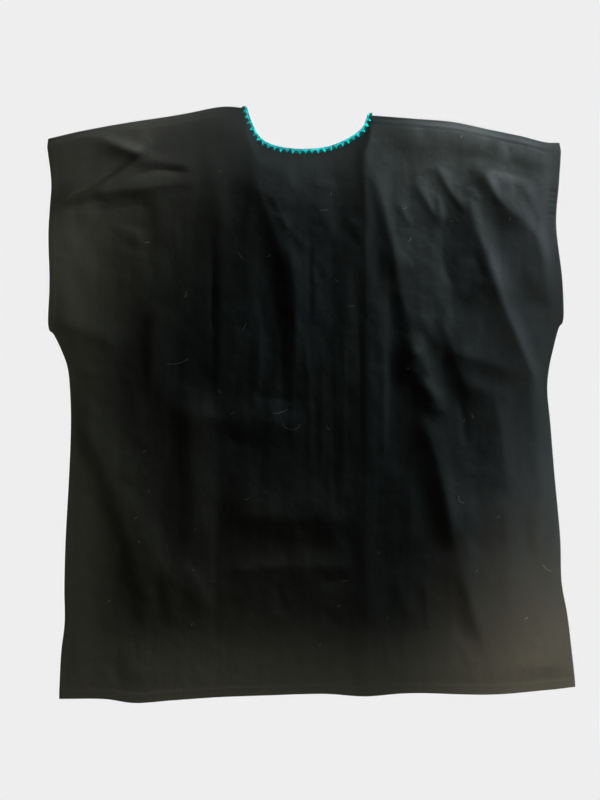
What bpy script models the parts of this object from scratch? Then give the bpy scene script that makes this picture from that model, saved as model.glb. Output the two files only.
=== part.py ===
"""A huipil blouse that lies flat with its back upward.

Two cotton panels of one cut lie on each other, the front below and the back above.
Body and short sleeves are cut in one, so a panel is one sheet from cuff to cuff.
One round of crochet edges both necklines, and folds over at each shoulder.

Metres, +Z up, +Y towards the shoulders. The origin is under the middle of the garment,
on the surface that it lies on.
"""
import math
from collections import namedtuple

import bmesh
import bpy
from mathutils import Vector

GARMENT = "huipil_blouse"

# ---------------------------------------------------------------- driving dimensions

CLOTH = 0.0012            # wall of a panel
SEAM_GAP = 0.0003         # air between pieces that touch in the real garment
FRONT_INSET = 0.0012      # the front lies this far inside the back's outline
TURNING = 0.0006          # what a turned hem or a pressed seam adds to the wall

LOFT = 0.0034             # how high the loose back stands over the front
LOWEST_LOFT = 0.0008      # what is left of that at the bottom of a crease
SIDE_FADE = 0.024         # relief dies away over this width beside a side edge
TOP_FADE = 0.032          # the same under the shoulders and the neck
HEM_FADE = 0.035          # the same above the bottom hem
HEM_RELIEF = 0.35         # share of the relief that reaches the free hem

EDGING_WIDTH = 0.0032     # crochet, pressed flat
EDGING_HEIGHT = 0.0016
EDGING_SIDES = 8
EDGING_TURN_STEPS = 6     # sections in the fold over each shoulder
NECK_BRIDGE = 0.030       # beside the neck, the back is held up over this width

FRONT_NECK_DEPTH = 0.140  # below the shoulders
FRONT_NECK_SQUARENESS = 2.6
FRONT_NECK_POINTS = 44
FRONT_EDGE_STEP = 0.012   # spacing of outline points on the front

SHOULDER_COLUMNS_LEFT = 13
NECK_COLUMNS = 20         # also the crochet's sections along the back neck
SHOULDER_COLUMNS_RIGHT = 19
CUFF_TURNING = 0.0085     # width of the turned cuff
CUFF_SECTIONS = 6         # sections from the shoulder to the end of the cuff
STEP_WIDTH = 0.0015       # a turning falls back to the plain wall over this width

FOLD_END = 0.27           # share of a fold's length over which each end dies away
FOLD_REACH = 3            # widths beside a fold after which it adds nothing
FOLD_STEPS = 12           # straight steps along a fold
CURVE_STEPS = 24          # straight steps between two points of a curve
MITRE_LIMIT = 0.5         # keeps a sharp corner's inset from running away
STEEP = 0.3               # the crochet stands up where less than this of it runs level
WELD = 0.00001            # points closer than this are one

EDGING_LIFT = 0.00015     # the crochet's upper half lies this much looser than touching
CORNER_SLACK = 0.0003     # more air along the back neck, where corners of both come close
EDGING_BACK_Z = CLOTH + 2 * SEAM_GAP + EDGING_HEIGHT / 2 + EDGING_LIFT
EDGING_FRONT_Z = EDGING_HEIGHT / 2

# ---------------------------------------------------------------- tables

# One row for each section across the garment, from the shoulder fold to the hem: where
# the section meets the left and the right edge, how many mesh rows lead on to the next
# section, and the share of the relief that reaches the edges. Open edges keep some of it.
Section = namedtuple("Section", "place left_x left_y right_x right_y rows relief")
SECTIONS = (
    Section("shoulder fold",   -0.3050,  0.3080, 0.2874,  0.3032, 1, 0.30),
    Section("shoulder seam",   -0.3056,  0.2995, 0.2886,  0.2947, 1, 0.35),
    Section("below the seam",  -0.3057,  0.2980, 0.2888,  0.2932, 4, 0.40),
    Section("upper cuff",      -0.3010,  0.2530, 0.2865,  0.2560, 4, 0.45),
    Section("middle of cuff",  -0.3044,  0.1990, 0.2835,  0.2060, 5, 0.45),
    Section("lower cuff",      -0.3032,  0.1420, 0.2903,  0.1450, 4, 0.40),
    Section("cuff end",        -0.3048,  0.0920, 0.2920,  0.1005, 1, 0.20),
    Section("under the cuff",  -0.2985,  0.0815, 0.2864,  0.0886, 2, 0.10),
    Section("underarm bend",   -0.2900,  0.0640, 0.2800,  0.0640, 2, 0.05),
    Section("underarm",        -0.2825,  0.0430, 0.2753,  0.0420, 2, 0.05),
    Section("top of side",     -0.2796,  0.0150, 0.2732,  0.0160, 3, 0.05),
    Section("chest",           -0.2786, -0.0246, 0.2770, -0.0247, 4, 0.05),
    Section("waist",           -0.2808, -0.0830, 0.2818, -0.0830, 4, 0.05),
    Section("upper hip",       -0.2848, -0.1560, 0.2882, -0.1530, 3, 0.05),
    Section("right vent top",  -0.2862, -0.2110, 0.2898, -0.2045, 2, 0.10),
    Section("left vent top",   -0.2858, -0.2515, 0.2965, -0.2430, 2, 0.25),
    Section("lower vent",      -0.2898, -0.2870, 0.3012, -0.2820, 2, 0.30),
    Section("above the hem",   -0.2920, -0.3280, 0.3048, -0.3143, 1, 0.30),
    Section("hem turning",     -0.2921, -0.3295, 0.3050, -0.3158, 1, 0.30),
    Section("hem fold",        -0.2923, -0.3408, 0.3058, -0.3268, 0, 0.30),
)

# Points on the top and bottom edges, left to right, with a smooth curve through each list.
EdgePoint = namedtuple("EdgePoint", "x y")
LEFT_SHOULDER = (
    EdgePoint(-0.3050, 0.3080), EdgePoint(-0.2670, 0.3168), EdgePoint(-0.2170, 0.3260),
    EdgePoint(-0.1510, 0.3362), EdgePoint(-0.1050, 0.3450), EdgePoint(-0.0795, 0.3436),
)
RIGHT_SHOULDER = (
    EdgePoint(0.0690, 0.3352), EdgePoint(0.1150, 0.3316), EdgePoint(0.1620, 0.3277),
    EdgePoint(0.2050, 0.3189), EdgePoint(0.2400, 0.3118), EdgePoint(0.2700, 0.3042),
    EdgePoint(0.2874, 0.3032),
)
BACK_NECK = (             # the open edge of the crochet
    EdgePoint(-0.0749, 0.3444), EdgePoint(-0.0690, 0.3272), EdgePoint(-0.0589, 0.3095),
    EdgePoint(-0.0412, 0.3001), EdgePoint(-0.0116, 0.2963), EdgePoint(0.0180, 0.2989),
    EdgePoint(0.0416, 0.3083), EdgePoint(0.0578, 0.3198), EdgePoint(0.0630, 0.3300),
    EdgePoint(0.0650, 0.3360),
)
HEM = (
    EdgePoint(-0.2923, -0.3408), EdgePoint(-0.2410, -0.3408), EdgePoint(-0.2050, -0.3454),
    EdgePoint(-0.1620, -0.3425), EdgePoint(-0.1080, -0.3387), EdgePoint(-0.0550, -0.3366),
    EdgePoint(0.0135, -0.3348), EdgePoint(0.0620, -0.3376), EdgePoint(0.1180, -0.3340),
    EdgePoint(0.2050, -0.3358), EdgePoint(0.2710, -0.3305), EdgePoint(0.3058, -0.3268),
)

# One row for each large fold of the back. It runs from head through bend to foot, and
# dies away at both. Rise is above the loose cloth, or below it for a crease. The widths
# are half widths on the left and on the right of someone who walks from head to foot.
# Crisp is 2 for a round fold and less for one with a sharper crest.
Fold = namedtuple("Fold", "name head bend foot rise left right crisp")
FOLDS = (
    Fold("left shoulder ridge",    (-0.302, 0.316), (-0.246, 0.309), (-0.184, 0.282), 0.0076, 0.006, 0.009, 1.3),
    Fold("left sleeve crest",      (-0.318, 0.224), (-0.246, 0.259), (-0.178, 0.308), 0.0056, 0.014, 0.008, 1.4),
    Fold("left sleeve ridge",      (-0.334, 0.216), (-0.246, 0.245), (-0.164, 0.255), 0.0044, 0.018, 0.011, 1.5),
    Fold("left sleeve hollow",     (-0.282, 0.184), (-0.236, 0.209), (-0.172, 0.226), -0.0048, 0.026, 0.034, 1.5),
    Fold("left sleeve ridge, inner", (-0.222, 0.244), (-0.182, 0.252), (-0.116, 0.260), 0.0018, 0.011, 0.009, 1.4),
    Fold("left sleeve small ridge", (-0.216, 0.278), (-0.178, 0.281), (-0.126, 0.272), 0.0018, 0.010, 0.005, 1.4),
    Fold("left elbow ridge",       (-0.312, 0.108), (-0.262, 0.086), (-0.210, 0.064), 0.0046, 0.018, 0.012, 1.5),
    Fold("left hip ridge, upper",  (-0.276, 0.006), (-0.240, -0.072), (-0.212, -0.148), 0.0052, 0.028, 0.012, 1.6),
    Fold("left hip ridge, lower",  (-0.232, -0.098), (-0.208, -0.164), (-0.190, -0.262), 0.0050, 0.028, 0.013, 1.6),
    Fold("left storage ridge",     (-0.1090, 0.250), (-0.1085, 0.110), (-0.1065, -0.020), 0.0026, 0.018, 0.0050, 1.4),
    Fold("bowl crest",             (-0.146, 0.034), (-0.136, -0.075), (-0.138, -0.200), 0.0050, 0.022, 0.019, 1.5),
    Fold("bowl rim",               (-0.200, -0.124), (-0.172, -0.190), (-0.106, -0.238), 0.0036, 0.027, 0.024, 1.5),
    Fold("right storage ridge",    (0.060, 0.500), (0.0640, 0.000), (0.0640, -0.500), 0.0024, 0.014, 0.013, 1.4),
    Fold("right storage ridge, top", (0.056, 0.334), (0.0610, 0.262), (0.0640, 0.196), 0.0030, 0.014, 0.018, 1.5),
    Fold("pleat ridge",            (0.083, 0.210), (0.083, 0.070), (0.082, -0.090), 0.0020, 0.006, 0.022, 1.6),
    Fold("breast ridge, upper",    (-0.072, 0.290), (-0.049, 0.214), (-0.022, 0.146), 0.0050, 0.018, 0.017, 1.5),
    Fold("neck ridge",             (-0.038, 0.304), (-0.031, 0.268), (-0.042, 0.222), 0.0038, 0.014, 0.042, 1.5),
    Fold("breast ridge, lower",    (-0.026, 0.196), (-0.0190, 0.112), (-0.0200, 0.020), 0.0050, 0.013, 0.014, 1.3),
    Fold("breast hollow",          (-0.060, 0.240), (-0.046, 0.150), (-0.042, 0.050), -0.0028, 0.014, 0.018, 2.0),
    Fold("centre crest, upper",    (0.066, 0.292), (0.086, 0.214), (0.104, 0.140), 0.0048, 0.015, 0.011, 1.5),
    Fold("centre crest, middle",   (0.090, 0.196), (0.108, 0.112), (0.124, 0.038), 0.0060, 0.026, 0.013, 1.6),
    Fold("centre crest, lower",    (0.110, 0.086), (0.124, 0.038), (0.156, -0.026), 0.0072, 0.017, 0.016, 1.6),
    Fold("breast crest",           (0.132, 0.212), (0.138, 0.152), (0.152, 0.090), 0.0026, 0.014, 0.024, 1.7),
    Fold("breast wedge",           (0.144, 0.112), (0.163, 0.063), (0.184, 0.004), 0.0056, 0.030, 0.013, 1.4),
    Fold("breast shelf",           (0.148, 0.066), (0.200, 0.049), (0.254, 0.034), 0.0046, 0.026, 0.013, 1.4),
    Fold("long crest, upper",      (0.176, 0.268), (0.190, 0.204), (0.226, 0.114), 0.0070, 0.014, 0.028, 1.4),
    Fold("long crest, lower",      (0.192, 0.184), (0.233, 0.088), (0.297, -0.066), 0.0078, 0.0095, 0.020, 1.25),
    Fold("sleeve crest, upper",    (0.184, 0.288), (0.216, 0.238), (0.258, 0.202), 0.0096, 0.046, 0.020, 1.4),
    Fold("sleeve crest, lower",    (0.232, 0.232), (0.262, 0.186), (0.276, 0.112), 0.0060, 0.015, 0.036, 1.5),
    Fold("hip crest, upper",       (0.120, 0.004), (0.145, -0.066), (0.168, -0.170), 0.0082, 0.022, 0.016, 1.4),
    Fold("hip crest, lower",       (0.146, -0.070), (0.166, -0.160), (0.206, -0.305), 0.0058, 0.024, 0.013, 1.5),
    Fold("outer hip ridge",        (0.208, 0.020), (0.220, -0.034), (0.226, -0.110), 0.0042, 0.010, 0.018, 1.4),
    Fold("vent ridge",             (0.222, -0.090), (0.228, -0.180), (0.236, -0.280), 0.0032, 0.013, 0.014, 1.5),
    Fold("belly swell, upper",     (-0.190, 0.000), (-0.104, -0.016), (0.002, -0.024), 0.0044, 0.022, 0.020, 1.6),
    Fold("belly swell, middle",    (-0.112, -0.128), (-0.020, -0.130), (0.066, -0.132), 0.0066, 0.032, 0.024, 1.6),
    Fold("belly swell, lower",     (-0.118, -0.192), (-0.030, -0.188), (0.058, -0.186), 0.0034, 0.014, 0.022, 1.4),
    Fold("hem swell",              (-0.200, -0.270), (-0.196, -0.320), (-0.194, -0.370), 0.0016, 0.024, 0.024, 2.0),
)

# ---------------------------------------------------------------- curves and profiles


def ease(start, end, value):
    """0 before start, 1 after end, and a smooth step between them."""
    share = min(1.0, max(0.0, (value - start) / (end - start)))
    return share * share * (3.0 - 2.0 * share)


def spline(points, share):
    """Point on a smooth curve through the points, at a share from 0 to 1 of its spans."""
    spans = len(points) - 1
    place = min(max(share, 0.0), 1.0) * spans
    index = min(int(place), spans - 1)
    t = place - index
    p1 = Vector(points[index])
    p2 = Vector(points[index + 1])
    p0 = Vector(points[index - 1]) if index > 0 else 2 * p1 - p2
    p3 = Vector(points[index + 2]) if index + 2 <= spans else 2 * p2 - p1
    return 0.5 * (2 * p1 + (p2 - p0) * t + (2 * p0 - 5 * p1 + 4 * p2 - p3) * t ** 2
                  + (3 * p1 - 3 * p2 + p3 - p0) * t ** 3)


def along(points, shares):
    """Points at the given shares of the length of the smooth curve through the points."""
    count = CURVE_STEPS * (len(points) - 1)
    fine = [spline(points, i / count) for i in range(count + 1)]
    lengths = [0.0]
    for a, b in zip(fine, fine[1:]):
        lengths.append(lengths[-1] + (b - a).length)
    placed = []
    index = 0
    for share in shares:
        wanted = share * lengths[-1]
        while index < count - 1 and lengths[index + 1] < wanted:
            index += 1
        span = lengths[index + 1] - lengths[index]
        placed.append(fine[index].lerp(fine[index + 1], (wanted - lengths[index]) / span))
    return placed


def even(count):
    """Shares from 0 to 1 that split a curve into so many equal parts."""
    return [i / count for i in range(count + 1)]


def moved_sideways(points, distance):
    """An open polyline moved to the left of its own direction, in the plane."""
    moved = []
    for i, point in enumerate(points):
        before = points[max(i - 1, 0)]
        after = points[min(i + 1, len(points) - 1)]
        direction = (after - before).normalized()
        moved.append(point + distance * Vector((-direction.y, direction.x)))
    return moved


def moved_inward(loop, distance):
    """A closed anticlockwise loop moved inward, with its corners kept."""
    moved = []
    for i, point in enumerate(loop):
        arriving = (point - loop[i - 1]).normalized()
        leaving = (loop[(i + 1) % len(loop)] - point).normalized()
        bisector = Vector((-(arriving.y + leaving.y), arriving.x + leaving.x)).normalized()
        reach = max(MITRE_LIMIT, bisector.dot(Vector((-arriving.y, arriving.x))))
        moved.append(point + bisector * (distance / reach))
    return moved


def nearest_on(path, point):
    """Signed distance from a path, left being positive, and the share of its length there."""
    best = (math.inf, 0.0, 1.0)
    spans = len(path) - 1
    for i in range(spans):
        a, b = path[i], path[i + 1]
        run = b - a
        t = min(1.0, max(0.0, (point - a).dot(run) / run.length_squared))
        offset = point - (a + t * run)
        if offset.length < best[0]:
            side = 1.0 if run.x * offset.y - run.y * offset.x > 0 else -1.0
            best = (offset.length, (i + t) / spans, side)
    return best[0] * best[2], best[1]


def fold_paths():
    """Each fold with its curve in the plane."""
    return [(fold, along((fold.head, fold.bend, fold.foot), even(FOLD_STEPS))) for fold in FOLDS]


def fold_height(paths, x, y):
    """All the folds together at one place on the back."""
    point = Vector((x, y))
    height = 0.0
    for fold, path in paths:
        distance, share = nearest_on(path, point)
        width = fold.left if distance > 0 else fold.right
        if abs(distance) > FOLD_REACH * width:
            continue
        strength = ease(0.0, FOLD_END, share) * ease(0.0, FOLD_END, 1.0 - share)
        height += fold.rise * strength * math.exp(-(abs(distance) / width) ** fold.crisp)
    return height


# ---------------------------------------------------------------- outlines


def side_points(side):
    """The left or right edge from the shoulder to the hem, one point a mesh row."""
    corners = [Vector((getattr(s, side + "_x"), getattr(s, side + "_y"))) for s in SECTIONS]
    spans = len(SECTIONS) - 1
    points = []
    for i, section in enumerate(SECTIONS[:-1]):
        for row in range(section.rows):
            points.append(spline(corners, (i + row / section.rows) / spans))
    return points + [corners[-1]]


def edge_relief():
    """The share of the relief that reaches the side edges, one value a mesh row."""
    shares = []
    for here, below in zip(SECTIONS, SECTIONS[1:]):
        shares += [here.relief + (below.relief - here.relief) * row / here.rows
                   for row in range(here.rows)]
    return shares + [SECTIONS[-1].relief]


def neck_centre_back():
    """Centre line of the crochet along the back neck, left to right."""
    open_edge = along(BACK_NECK, even(NECK_COLUMNS))
    return moved_sideways(open_edge, -EDGING_WIDTH / 2)


def neck_centre_front():
    """Centre line of the crochet along the deeper front neck, right to left."""
    back = neck_centre_back()
    left, right = back[0], back[-1]
    middle = (left + right) / 2
    half = (right.x - left.x) / 2
    slope = (right.y - left.y) / (right.x - left.x)
    power = 2.0 / FRONT_NECK_SQUARENESS
    points = []
    for i in range(FRONT_NECK_POINTS + 1):
        angle = math.pi * i / FRONT_NECK_POINTS
        cosine = math.cos(angle)
        x = middle.x + math.copysign(half * abs(cosine) ** power, cosine)
        y = middle.y + slope * (x - middle.x) - FRONT_NECK_DEPTH * math.sin(angle) ** power
        points.append(Vector((x, y)))
    return points


def neck_cloth_edge():
    """The back panel's edge in the neck, just clear of the crochet."""
    return moved_sideways(neck_centre_back(), -(EDGING_WIDTH / 2 + SEAM_GAP + CORNER_SLACK))


def top_edge():
    """The back's top edge, one point a mesh column: shoulder, neck, shoulder."""
    left = along(LEFT_SHOULDER, column_shares(SHOULDER_COLUMNS_LEFT, "left"))
    neck = neck_cloth_edge()
    right = along(RIGHT_SHOULDER, column_shares(SHOULDER_COLUMNS_RIGHT, "right"))
    return left[:-1] + neck + right[1:]


def column_shares(count, side):
    """Even columns along a shoulder, after two that mark the turned cuff."""
    length = abs(LEFT_SHOULDER[-1].x - LEFT_SHOULDER[0].x)
    if side == "right":
        length = abs(RIGHT_SHOULDER[-1].x - RIGHT_SHOULDER[0].x)
    cuff = [CUFF_TURNING / length, (CUFF_TURNING + STEP_WIDTH) / length]
    rest = [cuff[1] + (1.0 - cuff[1]) * i / (count - 2) for i in range(1, count - 1)]
    shares = [0.0] + cuff + rest
    return shares if side == "left" else [1.0 - share for share in reversed(shares)]


def hem_shares():
    """Shares of the hem's length for the columns, spread evenly below the neck."""
    width = HEM[-1].x - HEM[0].x
    neck_left = (LEFT_SHOULDER[-1].x - HEM[0].x) / width
    neck_right = (RIGHT_SHOULDER[0].x - HEM[0].x) / width
    left = [neck_left * s for s in column_shares(SHOULDER_COLUMNS_LEFT, "left")]
    neck = [neck_left + (neck_right - neck_left) * s for s in even(NECK_COLUMNS)]
    right = [neck_right + (1 - neck_right) * s
             for s in column_shares(SHOULDER_COLUMNS_RIGHT, "right")]
    return left[:-1] + neck + right[1:]


# ---------------------------------------------------------------- the pieces


def linked(name, mesh, collection, material):
    """A new object in the collection, with its one material."""
    mesh.materials.append(material)
    piece = bpy.data.objects.new(name, mesh)
    collection.objects.link(piece)
    return piece


def back_panel(collection, material):
    """The back: a patch between its four edges, raised into folds and given a wall."""
    shares = hem_shares()
    top = top_edge()
    hem = along(HEM, shares)
    left = side_points("left")
    right = side_points("right")
    fall = [((left[0].y - a.y) / (left[0].y - left[-1].y)
             + (right[0].y - b.y) / (right[0].y - right[-1].y)) / 2 for a, b in zip(left, right)]
    width = hem[-1].x - hem[0].x
    height = left[0].y - left[-1].y
    neck_start = SHOULDER_COLUMNS_LEFT
    neck_end = neck_start + NECK_COLUMNS
    paths = fold_paths()
    reaching = edge_relief()
    rows, columns = len(left), len(top)
    cuff_end = sum(section.rows for section in SECTIONS[:CUFF_SECTIONS])

    grid = bmesh.new()
    turning = grid.verts.layers.deform.verify()
    lattice = []
    for j, v in enumerate(fall):
        line = []
        for i, u in enumerate(shares):
            corners = ((1 - u) * (1 - v) * top[0] + u * (1 - v) * top[-1]
                       + (1 - u) * v * hem[0] + u * v * hem[-1])
            place = ((1 - v) * top[i] + v * hem[i] + (1 - u) * left[j] + u * right[j] - corners)
            from_side = min(u, 1 - u) * width
            from_top = v * height
            from_hem = (1 - v) * height
            beside_neck = max(0.0, top[neck_start].x - place.x, place.x - top[neck_end].x)
            bridge = 1.0 - ease(0.0, NECK_BRIDGE, beside_neck)
            seat = CLOTH + SEAM_GAP + bridge * (EDGING_BACK_Z - CLOTH / 2 - CLOTH - SEAM_GAP)
            relief = max(LOWEST_LOFT, LOFT + fold_height(paths, place.x, place.y))
            share = ((reaching[j] + (1 - reaching[j]) * ease(0, SIDE_FADE, from_side))
                     * ease(0, TOP_FADE, from_top)
                     * (HEM_RELIEF + (1 - HEM_RELIEF) * ease(0, HEM_FADE, from_hem)))
            vertex = grid.verts.new((place.x, place.y, seat + relief * share))
            in_hem = j >= rows - 2
            in_cuff = j <= cuff_end and (i <= 1 or i >= columns - 2)
            in_seam = j <= 1 and (i <= neck_start or i >= neck_end)
            vertex[turning][0] = 1.0 if in_hem or in_cuff or in_seam else 0.0
            line.append(vertex)
        lattice.append(line)
    for upper, lower in zip(lattice, lattice[1:]):
        for i in range(columns - 1):
            grid.faces.new((upper[i], lower[i], lower[i + 1], upper[i + 1]))
    mesh = bpy.data.meshes.new("back_panel")
    grid.to_mesh(mesh)
    grid.free()
    mesh.shade_smooth()

    panel = linked("back_panel", mesh, collection, material)
    panel.vertex_groups.new(name="turnings")
    wall = panel.modifiers.new("wall", "SOLIDIFY")
    wall.thickness = CLOTH + TURNING
    wall.offset = 1.0
    wall.vertex_group = "turnings"
    wall.thickness_vertex_group = CLOTH / (CLOTH + TURNING)
    return panel


def front_panel(collection, material):
    """The front: a flat outline with the deeper neck, extruded to its wall."""
    def stepped(points):
        length = sum((Vector(b) - Vector(a)).length for a, b in zip(points, points[1:]))
        return along(points, even(round(length / FRONT_EDGE_STEP)))

    neck = moved_sideways(neck_centre_front(), EDGING_WIDTH / 2 + SEAM_GAP)
    right_shoulder = stepped(RIGHT_SHOULDER)
    left_shoulder = stepped(LEFT_SHOULDER)
    outer = (left_shoulder[::-1] + side_points("left")[1:] + stepped(HEM)[1:]
             + side_points("right")[-2::-1] + right_shoulder[-2::-1])
    corner_left, corner_right = outer[0], outer[-1]
    loop = moved_inward(outer, FRONT_INSET)
    loop[0] = Vector((neck[-1].x, corner_left.y - FRONT_INSET))
    loop[-1] = Vector((neck[0].x, corner_right.y - FRONT_INSET))
    inner = [p for p in neck if p.y < min(loop[0].y, loop[-1].y) - SEAM_GAP]

    outline = bpy.data.curves.new("front_panel", "CURVE")
    outline.dimensions = "2D"
    outline.fill_mode = "BOTH"
    outline.extrude = CLOTH / 2
    places = loop + inner
    edge = outline.splines.new("POLY")
    edge.points.add(len(places) - 1)
    for corner, place in zip(edge.points, places):
        corner.co = (place.x, place.y, 0.0, 1.0)
    edge.use_cyclic_u = True
    drawn = bpy.data.objects.new("front_outline", outline)
    collection.objects.link(drawn)
    drawn.location.z = CLOTH / 2
    bpy.context.view_layer.update()
    seen = drawn.evaluated_get(bpy.context.evaluated_depsgraph_get())
    mesh = bpy.data.meshes.new_from_object(seen)
    mesh.transform(drawn.matrix_world)
    work = bmesh.new()
    work.from_mesh(mesh)
    bmesh.ops.remove_doubles(work, verts=work.verts, dist=WELD)
    bmesh.ops.recalc_face_normals(work, faces=work.faces)
    work.to_mesh(mesh)
    work.free()
    bpy.data.objects.remove(drawn)
    return linked("front_panel", mesh, collection, material)


def edging_route():
    """Centre of the crochet all the way round, with the side of it that faces the neck."""
    back = neck_centre_back()
    front = neck_centre_front()[1:-1]
    turn_radius = (EDGING_BACK_Z - EDGING_FRONT_Z) / 2
    middle_z = (EDGING_BACK_Z + EDGING_FRONT_Z) / 2
    route = [Vector((p.x, p.y, EDGING_BACK_Z)) for p in back]
    for i in range(1, EDGING_TURN_STEPS + 1):
        angle = math.pi * i / EDGING_TURN_STEPS
        route.append(Vector((back[-1].x, back[-1].y + turn_radius * math.sin(angle),
                             middle_z + turn_radius * math.cos(angle))))
    route += [Vector((p.x, p.y, EDGING_FRONT_Z)) for p in front]
    for i in range(EDGING_TURN_STEPS):
        angle = math.pi * i / EDGING_TURN_STEPS
        route.append(Vector((back[0].x, back[0].y + turn_radius * math.sin(angle),
                             middle_z - turn_radius * math.cos(angle))))
    return route


def neck_edging(collection, material):
    """The crochet: one flattened section carried round the closed route."""
    route = edging_route()
    count = len(route)
    ring = bmesh.new()
    sections = []
    across = Vector((1.0, 0.0, 0.0))
    for i, centre in enumerate(route):
        ahead = (route[(i + 1) % count] - route[i - 1]).normalized()
        level = Vector((-ahead.y, ahead.x, 0.0))
        if level.length > STEEP:
            level.normalize()
            across = level if i < len(neck_centre_back()) or level.dot(across) > 0 else -level
        upward = ahead.cross(across).normalized()
        section = []
        for k in range(EDGING_SIDES):
            angle = 2 * math.pi * (k + 0.5) / EDGING_SIDES
            flat = math.cos(math.pi / EDGING_SIDES)
            section.append(ring.verts.new(
                centre + across * (EDGING_WIDTH / 2 * math.cos(angle) / flat)
                + upward * (EDGING_HEIGHT / 2 * math.sin(angle) / flat)))
        sections.append(section)
    for i, section in enumerate(sections):
        following = sections[(i + 1) % count]
        for k in range(EDGING_SIDES):
            beside = (k + 1) % EDGING_SIDES
            ring.faces.new((section[k], section[beside], following[beside], following[k]))
    bmesh.ops.recalc_face_normals(ring, faces=ring.faces)
    mesh = bpy.data.meshes.new("neck_edging")
    ring.to_mesh(mesh)
    ring.free()
    mesh.shade_smooth()
    return linked("neck_edging", mesh, collection, material)


def finish(name, colour, roughness):
    """A plain Principled material."""
    material = bpy.data.materials.new(name)
    material.use_nodes = True
    shader = material.node_tree.nodes["Principled BSDF"]
    shader.inputs["Base Color"].default_value = (*colour, 1.0)
    shader.inputs["Roughness"].default_value = roughness
    shader.inputs["Metallic"].default_value = 0.0
    return material


def main():
    for old in list(bpy.data.objects):
        bpy.data.objects.remove(old)
    collection = bpy.data.collections.new(GARMENT)
    bpy.context.scene.collection.children.link(collection)
    back_panel(collection, finish("black_cotton_back", (0.012, 0.013, 0.012), 0.85))
    front_panel(collection, finish("black_cotton_front", (0.012, 0.013, 0.012), 0.85))
    neck_edging(collection, finish("turquoise_crochet", (0.03, 0.33, 0.36), 0.70))


main()
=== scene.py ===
# %% [markdown]
# # A huipil blouse, laid flat with its back up
#
# A huipil blouse is the plainest of cuts. Two cotton panels, each with its short sleeves
# in one with the body, are sewn at the shoulders, underarms and sides. The cuffs and the
# bottom are turned and stitched, and the neck is crocheted round in one bright colour.
#
# This lesson dresses a model of it that already has the right sizes. The fixed frame
# holds three plain solids: the back panel, the front panel under it, and the crochet.
# Each gets a piece of cloth or thread of its own, made in the same place.

# %% Load the fixed frame
import math
from collections import namedtuple

import bpy
import numpy as np
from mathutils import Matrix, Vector, noise
from mathutils.bvhtree import BVHTree


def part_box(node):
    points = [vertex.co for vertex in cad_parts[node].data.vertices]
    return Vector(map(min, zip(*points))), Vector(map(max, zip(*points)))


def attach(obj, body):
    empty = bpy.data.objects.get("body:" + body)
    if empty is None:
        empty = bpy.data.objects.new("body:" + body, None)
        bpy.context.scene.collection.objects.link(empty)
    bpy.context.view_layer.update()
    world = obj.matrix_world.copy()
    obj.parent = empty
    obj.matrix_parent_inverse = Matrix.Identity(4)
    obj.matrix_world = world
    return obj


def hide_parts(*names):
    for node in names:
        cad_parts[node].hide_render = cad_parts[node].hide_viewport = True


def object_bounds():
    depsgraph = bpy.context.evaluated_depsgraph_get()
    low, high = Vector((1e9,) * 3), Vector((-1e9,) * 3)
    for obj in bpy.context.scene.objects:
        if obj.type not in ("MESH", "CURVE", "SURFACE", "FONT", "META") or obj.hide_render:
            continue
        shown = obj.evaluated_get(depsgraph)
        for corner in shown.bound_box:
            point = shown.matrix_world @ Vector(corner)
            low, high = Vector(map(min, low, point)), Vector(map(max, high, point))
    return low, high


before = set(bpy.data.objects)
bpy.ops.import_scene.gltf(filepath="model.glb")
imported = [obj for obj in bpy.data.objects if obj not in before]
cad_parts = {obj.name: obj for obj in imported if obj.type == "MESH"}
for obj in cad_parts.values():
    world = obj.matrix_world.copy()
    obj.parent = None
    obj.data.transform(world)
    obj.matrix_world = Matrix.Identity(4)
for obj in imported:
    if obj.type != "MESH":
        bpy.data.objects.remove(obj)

cad_low, cad_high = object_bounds()
for node in sorted(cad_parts):
    low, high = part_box(node)
    print(node, "spans", [round(1000 * side, 1) for side in high - low], "mm")

# %% [markdown]
# ## The camera
#
# A flat garment shows its cut best from straight above. A wide lens close by could take
# it in too, but it would spread the edges. A long lens from high up keeps them straight,
# so the camera hangs over two metres above the cloth. The frame is three wide by four
# high, and the blouse sits a little to its right.

# %% Hang the camera
FRAME_HEIGHT = 0.928
FRAME_CENTRE = (-0.0132, 0.0055)
LENS = 60.0
SENSOR_HEIGHT = 24.0

camera_data = bpy.data.cameras.new("overhead_camera")
camera_data.sensor_fit = "VERTICAL"
camera_data.sensor_height = SENSOR_HEIGHT
camera_data.lens = LENS
camera = bpy.data.objects.new("overhead_camera", camera_data)
camera.location = (*FRAME_CENTRE, FRAME_HEIGHT * LENS / SENSOR_HEIGHT)
bpy.context.scene.collection.objects.link(camera)
bpy.context.scene.camera = camera
print("camera height", round(camera.location.z, 2), "m")

# %% [markdown]
# ## Curves through a few points
#
# Cloth edges are smooth, so a few points are enough to say where one runs, and a curve
# through them gives the rest. A Bezier curve object could do it. Worked out as numbers,
# the same curve also gives points at equal distances, which a sheet of cloth needs.


# %% Smooth curves
def ease(low, high, value):
    """0 before low, 1 after high, with a smooth step between."""
    share = np.clip((value - low) / (high - low), 0.0, 1.0)
    return share * share * (3.0 - 2.0 * share)


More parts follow.
